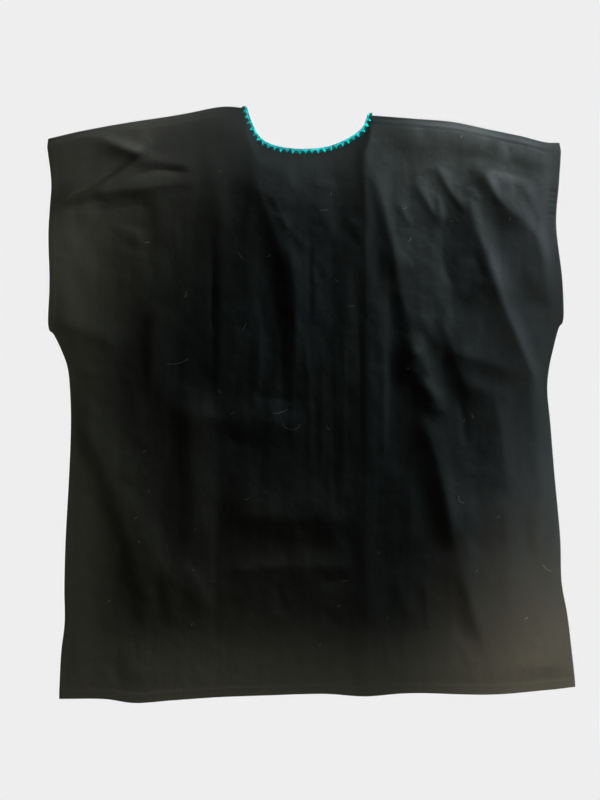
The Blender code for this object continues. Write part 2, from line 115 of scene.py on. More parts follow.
def through(points, per_span=24):
    """A fine smooth line through a few points."""
    p = np.array(points, float)
    q = np.vstack([2 * p[0] - p[1], p, 2 * p[-1] - p[-2]])
    t = np.linspace(0.0, 1.0, per_span, endpoint=False)[:, None]
    spans = [0.5 * (2 * q[i + 1] + (q[i + 2] - q[i]) * t
                    + (2 * q[i] - 5 * q[i + 1] + 4 * q[i + 2] - q[i + 3]) * t ** 2
                    + (3 * q[i + 1] - 3 * q[i + 2] + q[i + 3] - q[i]) * t ** 3)
             for i in range(len(p) - 1)]
    return np.vstack(spans + [p[-1:]])


def reach_of(line):
    """The distance along a line at each of its points."""
    steps = np.linalg.norm(np.diff(line, axis=0), axis=1)
    return np.concatenate([[0.0], np.cumsum(steps)])


def at_shares(line, shares):
    """Points at shares, from 0 to 1, of a line's length."""
    reach = reach_of(line)
    wanted = np.asarray(shares) * reach[-1]
    return np.stack([np.interp(wanted, reach, column) for column in line.T], axis=1)


def beside(line, distance):
    """A line moved to its own left, in the plane."""
    run = np.gradient(line, axis=0)
    run /= np.linalg.norm(run, axis=1)[:, None]
    return line + distance * np.stack([-run[:, 1], run[:, 0]], axis=1)


# %% [markdown]
# ## The cut of a panel
#
# Each panel is cut in one piece from cuff to cuff. These tables say where its edges lie
# once it is on the table, in metres from its middle: the two sides, which hold the
# cuffs, the underarms and the vents, then the shoulders, the neck and the hem.

# %% The edges
Section = namedtuple("Section", "place left_x left_y right_x right_y rows relief")
SECTIONS = (
    Section("shoulder fold",   -0.3050,  0.3080, 0.2874,  0.3032,  5, 0.30),
    Section("shoulder seam",   -0.3056,  0.2995, 0.2886,  0.2947,  1, 0.35),
    Section("below the seam",  -0.3057,  0.2980, 0.2888,  0.2932, 17, 0.40),
    Section("upper cuff",      -0.3010,  0.2530, 0.2865,  0.2560, 36, 0.45),
    Section("middle of cuff",  -0.3044,  0.1990, 0.2835,  0.2060, 24, 0.45),
    Section("lower cuff",      -0.3032,  0.1420, 0.2903,  0.1450, 19, 0.40),
    Section("cuff end",        -0.3048,  0.0920, 0.2920,  0.1005,  4, 0.20),
    Section("under the cuff",  -0.2985,  0.0815, 0.2864,  0.0886,  9, 0.10),
    Section("underarm bend",   -0.2900,  0.0640, 0.2800,  0.0640,  8, 0.05),
    Section("underarm",        -0.2825,  0.0430, 0.2753,  0.0420,  9, 0.05),
    Section("top of side",     -0.2796,  0.0150, 0.2732,  0.0160, 14, 0.05),
    Section("chest",           -0.2786, -0.0246, 0.2770, -0.0247, 19, 0.05),
    Section("waist",           -0.2808, -0.0830, 0.2818, -0.0830, 21, 0.05),
    Section("upper hip",       -0.2848, -0.1560, 0.2882, -0.1530, 15, 0.05),
    Section("right vent top",  -0.2862, -0.2110, 0.2898, -0.2045, 11, 0.10),
    Section("left vent top",   -0.2858, -0.2515, 0.2965, -0.2430, 10, 0.25),
    Section("lower vent",      -0.2898, -0.2870, 0.3012, -0.2820, 12, 0.30),
    Section("above the hem",   -0.2920, -0.3280, 0.3048, -0.3143,  1, 0.30),
    Section("hem turning",     -0.2921, -0.3295, 0.3050, -0.3158,  6, 0.30),
    Section("hem fold",        -0.2923, -0.3408, 0.3058, -0.3268,  0, 0.30),
)
LEFT_SHOULDER = ((-0.3050, 0.3080), (-0.2670, 0.3168), (-0.2170, 0.3260),
                 (-0.1510, 0.3362), (-0.1050, 0.3450), (-0.0795, 0.3436))
RIGHT_SHOULDER = ((0.0690, 0.3352), (0.1150, 0.3316), (0.1620, 0.3277), (0.2050, 0.3189),
                  (0.2400, 0.3118), (0.2700, 0.3042), (0.2874, 0.3032))
BACK_NECK = ((-0.0749, 0.3444), (-0.0690, 0.3272), (-0.0589, 0.3095), (-0.0412, 0.3001),
             (-0.0116, 0.2963), (0.0180, 0.2989), (0.0416, 0.3083), (0.0578, 0.3198),
             (0.0630, 0.3300), (0.0650, 0.3360))
HEM = ((-0.2923, -0.3408), (-0.2410, -0.3408), (-0.2050, -0.3454), (-0.1620, -0.3425),
       (-0.1080, -0.3387), (-0.0550, -0.3366), (0.0135, -0.3348), (0.0620, -0.3376),
       (0.1180, -0.3340), (0.2050, -0.3358), (0.2710, -0.3305), (0.3058, -0.3268))

print(len(SECTIONS), "points down each side")


# %% Follow the sides
def side_line(side, rows_scale=1.0):
    """The left or right edge, one point a mesh row, with the relief that reaches it."""
    corners = np.array([(getattr(s, side + "_x"), getattr(s, side + "_y")) for s in SECTIONS])
    fine = through(corners)
    places, relief = [], []
    for i, (here, below) in enumerate(zip(SECTIONS, SECTIONS[1:])):
        rows = max(1, round(here.rows * rows_scale))
        places += [i + row / rows for row in range(rows)]
        relief += [here.relief + (below.relief - here.relief) * row / rows for row in range(rows)]
    places.append(len(SECTIONS) - 1)
    relief.append(SECTIONS[-1].relief)
    steps = np.linspace(0, len(SECTIONS) - 1, len(fine))
    line = np.stack([np.interp(places, steps, fine[:, k]) for k in (0, 1)], axis=1)
    return line, np.array(relief)


left_edge, edge_relief = side_line("left")
right_edge, _ = side_line("right")
print("the left side has", len(left_edge), "rows")

# %% Follow the two necklines
CLOTH = 0.0012            # the wall of a panel
SEAM_GAP = 0.0003
EDGING_WIDTH = 0.0032
EDGING_HEIGHT = 0.0016
EDGING_LIFT = 0.00015     # the crochet's upper half lies this much looser than touching
EDGING_BACK_Z = CLOTH + 2 * SEAM_GAP + EDGING_HEIGHT / 2 + EDGING_LIFT
EDGING_FRONT_Z = EDGING_HEIGHT / 2
FRONT_NECK_DEPTH = 0.140
FRONT_NECK_SQUARENESS = 2.6
BACK_NECK_POINTS = 121
FRONT_NECK_POINTS = 161

neck_open_edge = at_shares(through(BACK_NECK), np.linspace(0, 1, BACK_NECK_POINTS))
back_neck_centre = beside(neck_open_edge, -EDGING_WIDTH / 2)


def front_neck_line():
    """Centre of the crochet round the deeper front neck, from right to left."""
    left, right = back_neck_centre[0], back_neck_centre[-1]
    middle = (left + right) / 2
    angle = np.linspace(0, math.pi, FRONT_NECK_POINTS)
    cosine, power = np.cos(angle), 2.0 / FRONT_NECK_SQUARENESS
    x = middle[0] + np.sign(cosine) * (right[0] - left[0]) / 2 * np.abs(cosine) ** power
    slope = (right[1] - left[1]) / (right[0] - left[0])
    y = middle[1] + slope * (x - middle[0]) - FRONT_NECK_DEPTH * np.abs(np.sin(angle)) ** power
    return at_shares(np.stack([x, y], axis=1), np.linspace(0, 1, FRONT_NECK_POINTS))


front_neck_centre = front_neck_line()
print("the necklines are", round(1000 * reach_of(back_neck_centre)[-1]), "and",
      round(1000 * reach_of(front_neck_centre)[-1]), "mm long")

# %% [markdown]
# ## The folds
#
# Cloth that has been lifted, dropped and smoothed by hand keeps soft ridges and creases.
# A simulation gives some, but never the wanted ones. So each is placed here as a row with
# a head, a bend and a foot. A ridge may fall steeply to one side and gently to the other,
# and that, more than its height, makes it look like cloth. The large folds are the solid's
# own. The small ones are finer than a solid needs.

# %% The large folds
Fold = namedtuple("Fold", "name head bend foot rise left right crisp")


def folds(*rows):
    """Rows of a name, three places, a height, two half widths and a crispness, as folds."""
    return tuple(Fold(*row) for row in rows)


LARGE_FOLDS = folds(
    ("left shoulder ridge", (-0.302, 0.316), (-0.246, 0.309), (-0.184, 0.282), 0.0076, 0.006, 0.009, 1.3),
    ("left sleeve crest", (-0.318, 0.224), (-0.246, 0.259), (-0.178, 0.308), 0.0056, 0.014, 0.008, 1.4),
    ("left sleeve ridge", (-0.334, 0.216), (-0.246, 0.245), (-0.164, 0.255), 0.0044, 0.018, 0.011, 1.5),
    ("left sleeve hollow", (-0.282, 0.184), (-0.236, 0.209), (-0.172, 0.226), -0.0048, 0.026, 0.034, 1.5),
    ("left sleeve ridge, inner", (-0.222, 0.244), (-0.182, 0.252), (-0.116, 0.26), 0.0018, 0.011, 0.009, 1.4),
    ("left sleeve small ridge", (-0.216, 0.278), (-0.178, 0.281), (-0.126, 0.272), 0.0018, 0.01, 0.005, 1.4),
    ("left elbow ridge", (-0.312, 0.108), (-0.262, 0.086), (-0.21, 0.064), 0.0046, 0.018, 0.012, 1.5),
    ("left hip ridge, upper", (-0.276, 0.006), (-0.24, -0.072), (-0.212, -0.148), 0.0052, 0.028, 0.012, 1.6),
    ("left hip ridge, lower", (-0.232, -0.098), (-0.208, -0.164), (-0.19, -0.262), 0.005, 0.028, 0.013, 1.6),
    ("left storage ridge", (-0.109, 0.25), (-0.1085, 0.11), (-0.1065, -0.02), 0.0026, 0.018, 0.005, 1.4),
    ("bowl crest", (-0.146, 0.034), (-0.136, -0.075), (-0.138, -0.2), 0.005, 0.022, 0.019, 1.5),
    ("bowl rim", (-0.2, -0.124), (-0.172, -0.19), (-0.106, -0.238), 0.0036, 0.027, 0.024, 1.5),
    ("right storage ridge", (0.06, 0.5), (0.064, 0.0), (0.064, -0.5), 0.0024, 0.014, 0.013, 1.4),
    ("right storage ridge, top", (0.056, 0.334), (0.061, 0.262), (0.064, 0.196), 0.003, 0.014, 0.018, 1.5),
    ("pleat ridge", (0.083, 0.21), (0.083, 0.07), (0.082, -0.09), 0.002, 0.006, 0.022, 1.6),
    ("breast ridge, upper", (-0.072, 0.29), (-0.049, 0.214), (-0.022, 0.146), 0.005, 0.018, 0.017, 1.5),
    ("neck ridge", (-0.038, 0.304), (-0.031, 0.268), (-0.042, 0.222), 0.0038, 0.014, 0.042, 1.5),
    ("breast ridge, lower", (-0.026, 0.196), (-0.019, 0.112), (-0.02, 0.02), 0.005, 0.013, 0.014, 1.3),
    ("breast hollow", (-0.06, 0.24), (-0.046, 0.15), (-0.042, 0.05), -0.0028, 0.014, 0.018, 2.0),
    ("centre crest, upper", (0.066, 0.292), (0.086, 0.214), (0.104, 0.14), 0.0048, 0.015, 0.011, 1.5),
    ("centre crest, middle", (0.09, 0.196), (0.108, 0.112), (0.124, 0.038), 0.006, 0.026, 0.013, 1.6),
    ("centre crest, lower", (0.11, 0.086), (0.124, 0.038), (0.156, -0.026), 0.0072, 0.017, 0.016, 1.6),
    ("breast crest", (0.132, 0.212), (0.138, 0.152), (0.152, 0.09), 0.0026, 0.014, 0.024, 1.7),
    ("breast wedge", (0.144, 0.112), (0.163, 0.063), (0.184, 0.004), 0.0056, 0.03, 0.013, 1.4),
    ("breast shelf", (0.148, 0.066), (0.2, 0.049), (0.254, 0.034), 0.0046, 0.026, 0.013, 1.4),
    ("long crest, upper", (0.176, 0.268), (0.19, 0.204), (0.226, 0.114), 0.007, 0.014, 0.028, 1.4),
    ("long crest, lower", (0.192, 0.184), (0.233, 0.088), (0.297, -0.066), 0.0078, 0.0095, 0.02, 1.25),
    ("sleeve crest, upper", (0.184, 0.288), (0.216, 0.238), (0.258, 0.202), 0.0096, 0.046, 0.02, 1.4),
    ("sleeve crest, lower", (0.232, 0.232), (0.262, 0.186), (0.276, 0.112), 0.006, 0.015, 0.036, 1.5),
    ("hip crest, upper", (0.12, 0.004), (0.145, -0.066), (0.168, -0.17), 0.0082, 0.022, 0.016, 1.4),
    ("hip crest, lower", (0.146, -0.07), (0.166, -0.16), (0.206, -0.305), 0.0058, 0.024, 0.013, 1.5),
    ("outer hip ridge", (0.208, 0.02), (0.22, -0.034), (0.226, -0.11), 0.0042, 0.01, 0.018, 1.4),
    ("vent ridge", (0.222, -0.09), (0.228, -0.18), (0.236, -0.28), 0.0032, 0.013, 0.014, 1.5),
    ("belly swell, upper", (-0.19, 0.0), (-0.104, -0.016), (0.002, -0.024), 0.0044, 0.022, 0.02, 1.6),
    ("belly swell, middle", (-0.112, -0.128), (-0.02, -0.13), (0.066, -0.132), 0.0066, 0.032, 0.024, 1.6),
    ("belly swell, lower", (-0.118, -0.192), (-0.03, -0.188), (0.058, -0.186), 0.0034, 0.014, 0.022, 1.4),
    ("hem swell", (-0.2, -0.27), (-0.196, -0.32), (-0.194, -0.37), 0.0016, 0.024, 0.024, 2.0),
)

# %% The small creases
SMALL_CREASES = folds(
    ("left storage line", (-0.1128, 0.2), (-0.1122, 0.11), (-0.1098, 0.03), -0.0022, 0.003, 0.0036, 1.3),
    ("left storage line 2", (-0.1105, -0.08), (-0.1095, -0.18), (-0.108, -0.42), -0.0008, 0.003, 0.004, 1.4),
    ("left shoulder gully", (-0.182, 0.302), (-0.208, 0.281), (-0.244, 0.252), -0.0032, 0.0065, 0.0055, 1.5),
    ("left sleeve gully", (-0.208, 0.262), (-0.18, 0.2715), (-0.138, 0.267), -0.0018, 0.005, 0.005, 1.5),
    ("left shoulder knuckle", (-0.206, 0.288), (-0.194, 0.292), (-0.182, 0.284), 0.0014, 0.005, 0.004, 1.6),
    ("left sleeve dimple", (-0.262, 0.232), (-0.25, 0.238), (-0.24, 0.236), -0.0012, 0.006, 0.006, 1.8),
    ("left cuff slope", (-0.34, 0.206), (-0.29, 0.217), (-0.24, 0.222), 0.0034, 0.014, 0.026, 1.6),
    ("left arm swell", (-0.236, 0.214), (-0.218, 0.202), (-0.186, 0.184), 0.0016, 0.012, 0.01, 1.8),
    ("left arm dimple", (-0.22, 0.19), (-0.212, 0.185), (-0.204, 0.182), -0.001, 0.006, 0.006, 1.8),
    ("left cuff swell", (-0.312, 0.15), (-0.284, 0.126), (-0.262, 0.108), 0.0014, 0.012, 0.01, 1.8),
    ("left arm crease", (-0.185, 0.13), (-0.185, 0.07), (-0.187, 0.0), 0.0034, 0.02, 0.01, 1.4),
    ("left arm crease, lower", (-0.198, 0.06), (-0.202, 0.01), (-0.2, -0.06), 0.001, 0.012, 0.01, 1.8),
    ("underarm pucker 1", (-0.292, 0.052), (-0.266, 0.04), (-0.232, 0.034), 0.0012, 0.006, 0.007, 1.7),
    ("underarm pucker 2", (-0.284, 0.016), (-0.262, 0.0), (-0.244, -0.02), 0.0012, 0.006, 0.005, 1.6),
    ("underarm pucker 3", (-0.284, -0.014), (-0.268, -0.026), (-0.254, -0.04), 0.0008, 0.005, 0.005, 1.6),
    ("left hip dimple", (-0.184, -0.2), (-0.178, -0.222), (-0.18, -0.244), -0.0014, 0.007, 0.007, 1.8),
    ("left hip dimple 2", (-0.202, -0.214), (-0.196, -0.226), (-0.19, -0.236), -0.001, 0.005, 0.005, 1.8),
    ("left hem ridge", (-0.146, -0.18), (-0.134, -0.212), (-0.124, -0.25), 0.0016, 0.012, 0.01, 1.8),
    ("left hem ridge 2", (-0.17, -0.19), (-0.166, -0.22), (-0.16, -0.262), 0.001, 0.01, 0.008, 1.8),
    ("left hem fold", (-0.254, -0.2), (-0.25, -0.24), (-0.236, -0.28), -0.001, 0.01, 0.01, 1.8),
    ("left hem crease", (-0.236, -0.29), (-0.226, -0.312), (-0.218, -0.345), -0.0008, 0.006, 0.005, 1.6),
    ("shoulder patch", (-0.122, 0.3), (-0.108, 0.246), (-0.1, 0.19), 0.0018, 0.007, 0.014, 1.6),
    ("flank strip", (-0.06, 0.11), (-0.06, 0.06), (-0.062, 0.01), 0.0012, 0.006, 0.008, 1.5),
    ("neck dent 1", (-0.016, 0.292), (-0.004, 0.284), (0.01, 0.286), 0.0012, 0.004, 0.006, 1.6),
    ("neck dent 2", (-0.03, 0.268), (-0.024, 0.258), (-0.018, 0.244), 0.0012, 0.007, 0.005, 1.7),
    ("neck dent 3", (-0.004, 0.262), (0.012, 0.254), (0.03, 0.254), 0.001, 0.006, 0.006, 1.7),
    ("breast wrinkle 1", (-0.048, 0.244), (-0.042, 0.234), (-0.038, 0.222), 0.0009, 0.005, 0.004, 1.6),
    ("breast wrinkle 2", (-0.04, 0.222), (-0.032, 0.212), (-0.026, 0.2), 0.0011, 0.005, 0.005, 1.6),
    ("breast wrinkle 3", (-0.026, 0.202), (-0.012, 0.188), (-0.004, 0.176), 0.0012, 0.006, 0.006, 1.7),
    ("breast wrinkle 4", (0.036, 0.226), (0.048, 0.206), (0.062, 0.184), 0.0009, 0.009, 0.007, 1.7),
    ("breast wrinkle 5", (0.012, 0.226), (0.02, 0.204), (0.026, 0.184), 0.001, 0.008, 0.006, 1.7),
    ("breast strip edge", (-0.002, 0.2), (-0.0015, 0.14), (-0.002, 0.08), -0.001, 0.003, 0.004, 1.4),
    ("breast strip foot", (0.002, 0.21), (0.001, 0.14), (-0.001, 0.06), 0.001, 0.009, 0.009, 1.7),
    ("centre dent", (0.002, 0.166), (0.007, 0.156), (0.01, 0.14), -0.0012, 0.006, 0.005, 1.7),
    ("centre line 1", (-0.012, 0.1), (-0.003, 0.02), (-0.002, -0.09), 0.0009, 0.0035, 0.003, 1.3),
    ("centre line 2", (-0.034, 0.11), (-0.033, 0.04), (-0.032, -0.03), -0.0009, 0.004, 0.0045, 1.5),
    ("centre line 3", (0.012, 0.08), (0.0125, 0.0), (0.0115, -0.09), 0.0006, 0.003, 0.003, 1.3),
    ("centre line 4", (0.0225, 0.09), (0.0255, -0.04), (0.0275, -0.15), -0.0006, 0.0036, 0.0036, 1.4),
    ("centre line 5", (0.037, 0.12), (0.038, 0.0), (0.037, -0.11), 0.0006, 0.0036, 0.003, 1.3),
    ("centre line 6", (0.052, 0.14), (0.056, 0.06), (0.058, -0.06), -0.0006, 0.004, 0.004, 1.4),
    ("centre line 7", (-0.022, 0.06), (-0.0215, 0.01), (-0.022, -0.06), 0.0006, 0.003, 0.0034, 1.3),
    ("belly line", (-0.07, 0.01), (-0.036, 0.006), (0.0, 0.004), -0.001, 0.007, 0.006, 1.6),
    ("belly dimple", (-0.1, -0.032), (-0.084, -0.044), (-0.06, -0.046), -0.0016, 0.01, 0.01, 1.8),
    ("lower belly dimple", (-0.02, -0.146), (0.0, -0.14), (0.012, -0.128), -0.0012, 0.007, 0.007, 1.8),
    ("hem dimple", (-0.046, -0.205), (-0.036, -0.222), (-0.034, -0.246), -0.0012, 0.008, 0.007, 1.8),
    ("right hem dimple 1", (0.008, -0.198), (0.024, -0.204), (0.044, -0.196), -0.0014, 0.008, 0.008, 1.8),
    ("right hem dimple 2", (0.014, -0.236), (0.024, -0.25), (0.038, -0.254), -0.0012, 0.008, 0.008, 1.8),
    ("pleat strip", (0.085, 0.06), (0.0845, 0.0), (0.084, -0.08), 0.0008, 0.0025, 0.004, 1.3),
    ("centre crest notch", (0.104, 0.046), (0.114, 0.04), (0.124, 0.036), 0.0016, 0.005, 0.005, 1.7),
    ("centre crest foot", (0.122, 0.112), (0.136, 0.086), (0.15, 0.06), 0.0018, 0.01, 0.01, 1.7),
    ("centre crest tail", (0.13, 0.0), (0.142, -0.006), (0.158, -0.008), 0.0014, 0.006, 0.003, 1.5),
    ("centre crest bump 1", (0.118, 0.066), (0.126, 0.052), (0.136, 0.034), 0.002, 0.009, 0.006, 1.7),
    ("centre crest bump 2", (0.126, 0.028), (0.136, 0.014), (0.15, 0.0), 0.002, 0.009, 0.007, 1.7),
    ("pleat 1", (0.143, 0.282), (0.158, 0.25), (0.182, 0.218), 0.0026, 0.012, 0.005, 1.3),
    ("pleat 2", (0.118, 0.262), (0.133, 0.234), (0.152, 0.204), 0.002, 0.01, 0.005, 1.3),
    ("breast crease 3", (0.147, 0.244), (0.148, 0.228), (0.15, 0.21), 0.0012, 0.003, 0.003, 1.4),
    ("breast crease 4", (0.102, 0.236), (0.108, 0.218), (0.118, 0.206), 0.001, 0.006, 0.005, 1.7),
    ("breast crease 5", (0.15, 0.19), (0.154, 0.158), (0.166, 0.132), -0.0012, 0.008, 0.006, 1.7),
    ("long crest groove", (0.184, 0.18), (0.194, 0.16), (0.2, 0.138), -0.0016, 0.007, 0.008, 1.7),
    ("long crest rib", (0.182, 0.252), (0.188, 0.244), (0.194, 0.234), 0.001, 0.003, 0.004, 1.5),
    ("sleeve crest rib", (0.196, 0.272), (0.206, 0.256), (0.22, 0.226), 0.0016, 0.006, 0.006, 1.6),
    ("sleeve crest top edge", (0.182, 0.2725), (0.216, 0.2705), (0.26, 0.258), -0.0024, 0.018, 0.0055, 1.5),
    ("sleeve rib 2", (0.238, 0.262), (0.256, 0.232), (0.27, 0.206), 0.0014, 0.008, 0.006, 1.7),
    ("sleeve rib 3", (0.254, 0.206), (0.266, 0.184), (0.276, 0.156), 0.0012, 0.007, 0.006, 1.7),
    ("armpit hollow", (0.262, 0.13), (0.268, 0.106), (0.27, 0.08), -0.0012, 0.009, 0.009, 1.8),
    ("armpit rib 1", (0.256, 0.052), (0.27, 0.026), (0.282, 0.0), 0.0014, 0.004, 0.005, 1.5),
    ("armpit rib 2", (0.266, 0.034), (0.27, 0.028), (0.276, 0.026), 0.001, 0.003, 0.003, 1.5),
    ("waist dent", (0.166, 0.026), (0.204, 0.014), (0.24, 0.002), 0.0026, 0.012, 0.014, 1.8),
    ("waist streak", (0.168, 0.01), (0.175, -0.01), (0.178, -0.05), -0.0014, 0.005, 0.005, 1.6),
    ("waist patch", (0.182, 0.034), (0.192, 0.004), (0.2, -0.04), 0.0016, 0.024, 0.014, 1.7),
    ("hip dent 1", (0.184, -0.046), (0.19, -0.06), (0.186, -0.08), -0.0012, 0.007, 0.008, 1.8),
    ("hip dent 2", (0.186, -0.15), (0.196, -0.166), (0.206, -0.176), -0.0014, 0.008, 0.008, 1.8),
    ("hip rib", (0.17, -0.14), (0.178, -0.16), (0.186, -0.186), 0.0012, 0.006, 0.006, 1.7),
    ("hip crest foot", (0.096, -0.056), (0.118, -0.13), (0.146, -0.22), 0.0013, 0.018, 0.028, 1.8),
    ("vent dent", (0.244, -0.126), (0.25, -0.16), (0.258, -0.19), -0.001, 0.008, 0.008, 1.8),
    ("vent rib", (0.264, -0.18), (0.268, -0.23), (0.274, -0.28), 0.001, 0.008, 0.008, 1.8),
    ("hem rib 1", (0.098, -0.186), (0.102, -0.214), (0.114, -0.25), 0.0012, 0.01, 0.008, 1.7),
    ("hem rib 2", (0.13, -0.2), (0.133, -0.23), (0.134, -0.262), 0.001, 0.004, 0.004, 1.5),
    ("hem rib 3", (0.084, -0.262), (0.088, -0.286), (0.096, -0.31), 0.0012, 0.007, 0.006, 1.7),
    ("hem rib 4", (0.146, -0.262), (0.172, -0.28), (0.196, -0.31), 0.001, 0.01, 0.01, 1.8),
    ("hem pucker 1", (-0.182, -0.33), (-0.182, -0.338), (-0.182, -0.346), 0.0006, 0.003, 0.003, 1.6),
    ("hem pucker 2", (-0.026, -0.318), (-0.025, -0.33), (-0.026, -0.342), 0.0007, 0.003, 0.003, 1.6),
    ("hem pucker 3", (-0.088, -0.326), (-0.086, -0.334), (-0.086, -0.342), 0.0005, 0.003, 0.003, 1.6),
    ("hem pucker 4", (0.108, -0.318), (0.11, -0.328), (0.114, -0.34), 0.0006, 0.004, 0.004, 1.6),
)
# The cuff's stitches pull it in at these heights, each by its own depth.
CUFF_PUCKERS = ((0.2470, 0.0014), (0.2405, 0.0012), (0.2335, 0.0015), (0.2275, 0.0011),
                (0.2205, 0.0014), (0.2135, 0.0009))
PUCKER_LEAN = 0.0005
PUCKER_WIDTH = 0.0022
SMALL_CREASES += folds(*(
    ("cuff pucker", (0.271, y), (0.279, y - PUCKER_LEAN), (0.292, y - 2 * PUCKER_LEAN), -depth,
     PUCKER_WIDTH, PUCKER_WIDTH, 1.5) for y, depth in CUFF_PUCKERS))
print(len(LARGE_FOLDS), "large folds and", len(SMALL_CREASES), "small creases")


# %% How a fold shapes the cloth
FOLD_END = 0.27           # share of a fold's length over which each end dies away


def fold_relief(plan, folds):
    """The height that the folds add at every point of a plan."""
    height = np.zeros(plan.shape[:2])
    for fold in folds:
        line = at_shares(through((fold.head, fold.bend, fold.foot)), np.linspace(0, 1, 15))
        widest = 3 * max(fold.left, fold.right)
        low, high = line.min(axis=0) - widest, line.max(axis=0) + widest
        near = np.all((plan > low) & (plan < high), axis=2)
        points = plan[near]
        closest = np.full(len(points), np.inf)
        side = np.ones(len(points))
        share = np.zeros(len(points))
        for i, (start, end) in enumerate(zip(line, line[1:])):
            run = end - start
            t = np.clip((points - start) @ run / (run @ run), 0.0, 1.0)
            offset = points - (start + t[:, None] * run)
            distance = np.linalg.norm(offset, axis=1)
            nearer = distance < closest
            closest[nearer] = distance[nearer]
            side[nearer] = np.sign(run[0] * offset[:, 1] - run[1] * offset[:, 0])[nearer]
            share[nearer] = ((i + t) / (len(line) - 1))[nearer]
        width = np.where(side > 0, fold.left, fold.right)
        strength = ease(0.0, FOLD_END, share) * ease(0.0, FOLD_END, 1.0 - share)
        height[near] += fold.rise * strength * np.exp(-(closest / width) ** fold.crisp)
    return height


def rumple(plan, scale, seed):
    """Soft unevenness between about -1 and 1, the same on every run."""
    values = [noise.noise(Vector((x * scale, y * scale, seed))) for x, y in plan.reshape(-1, 2)]
    return np.array(values).reshape(plan.shape[:2])


# %% [markdown]
# ## A sheet between four edges
#
# The top edge dips into the neck, the sides wander and the hem waves. A flat grid cut to
# that outline would need trimming and would leave ragged faces. Here the grid is
# stretched between the four edges instead, which is called a Coons patch. Its rows run
# along the shoulders and the hem, and its columns run down the cloth like its threads.


# %% Stretch the grid
def stretched(top, hem, left, right, across, left_reach=1.0, right_reach=1.0):
    """Plan points of a sheet between its edges, and each row's fall from 0 to 1.

    A side bends the columns as far in as its reach, a share of the width.
    """
    fall = ((left[0, 1] - left[:, 1]) / (left[0, 1] - left[-1, 1])
            + (right[0, 1] - right[:, 1]) / (right[0, 1] - right[-1, 1])) / 2
    u = across[None, :, None]
    v = fall[:, None, None]
    left_bend = left[:, None] - (1 - v) * top[0] - v * hem[0]
    right_bend = right[:, None] - (1 - v) * top[-1] - v * hem[-1]
    plan = ((1 - v) * top[None] + v * hem[None]
            + np.maximum(0.0, 1 - u / left_reach) * left_bend
            + np.maximum(0.0, 1 - (1 - u) / right_reach) * right_bend)
    return plan, fall


def column_shares(left_count, neck_count, right_count):
    """Where the columns meet the hem: even under each shoulder and under the neck."""
    width = HEM[-1][0] - HEM[0][0]
    neck_left = (LEFT_SHOULDER[-1][0] - HEM[0][0]) / width
    neck_right = (RIGHT_SHOULDER[0][0] - HEM[0][0]) / width
    return np.concatenate([np.linspace(0, neck_left, left_count + 1)[:-1],
                           np.linspace(neck_left, neck_right, neck_count + 1)[:-1],
                           np.linspace(neck_right, 1, right_count + 1)])


def top_line(neck, left_count, neck_count, right_count):
    """Shoulder, neck and shoulder, one point a column."""
    return np.vstack([
        at_shares(through(LEFT_SHOULDER[:-1] + (tuple(neck[0]),)),
                  np.linspace(0, 1, left_count + 1))[:-1],
        at_shares(neck, np.linspace(0, 1, neck_count + 1)),
        at_shares(through((tuple(neck[-1]),) + RIGHT_SHOULDER[1:]),
                  np.linspace(0, 1, right_count + 1))[1:]])


# %% Stretch the back's grid
LEFT_COLUMNS, NECK_COLUMNS, RIGHT_COLUMNS = 50, 60, 82
UNDER_CROCHET = 0.0014    # the cloth's raw edge runs on inside the crochet

neck_cloth = beside(back_neck_centre, -(EDGING_WIDTH / 2 + SEAM_GAP - UNDER_CROCHET))
across = column_shares(LEFT_COLUMNS, NECK_COLUMNS, RIGHT_COLUMNS)
top_edge = top_line(neck_cloth, LEFT_COLUMNS, NECK_COLUMNS, RIGHT_COLUMNS)
hem_edge = at_shares(through(HEM), across)
back_plan, back_fall = stretched(top_edge, hem_edge, left_edge, right_edge, across)
print("the back has", back_plan.shape[0], "rows and", back_plan.shape[1], "columns")

# %% [markdown]
# ## The back panel
#
# The loose back stands a few millimetres over the front, sinks to it at the sewn edges,
# and keeps a little of its relief at the open hem and cuffs. Its turned hems, cuffs and
# shoulder seam are double cloth, so they are thicker by a step. Thickness comes from
# Solidify, with a vertex group that says where the cloth is double.

# %% Measure in from the edges
panel_width = HEM[-1][0] - HEM[0][0]
panel_height = left_edge[0, 1] - left_edge[-1, 1]


def distances(fall, share):
    """Distances in metres from the left, the right, the top and the hem, at every point."""
    from_left, from_top = np.meshgrid(share * panel_width, fall * panel_height)
    return from_left, panel_width - from_left, from_top, panel_height - from_top


print("the panel is", round(1000 * panel_width), "mm wide and", round(1000 * panel_height), "mm long")

# %% Loosen the cloth
LOFT = 0.0034             # the loose back's height over the seams, before any fold
LOWEST_LOFT = 0.0008
SIDE_FADE = 0.024         # how far in from each edge the cloth comes free
TOP_FADE = 0.032
HEM_FADE = 0.035
HEM_RELIEF = 0.35         # share of its height that the cloth keeps at the open hem
Swell = namedtuple("Swell", "height scale seed stretch")
SWELLS = (Swell(0.0014, 13.0, 3.1, (1.0, 1.0)), Swell(0.0008, 40.0, 7.7, (1.0, 1.0)),
          Swell(0.0007, 20.0, 5.2, (3.0, 1.0)), Swell(0.0003, 90.0, 1.9, (1.0, 1.0)))


def loose_height(plan):
    """The cloth's height where nothing holds it: its loft, folds, creases and swells."""
    height = LOFT + fold_relief(plan, LARGE_FOLDS) + fold_relief(plan, SMALL_CREASES)
    for swell in SWELLS:
        height += swell.height * rumple(plan * swell.stretch, swell.scale, swell.seed)
    return np.maximum(LOWEST_LOFT, height)


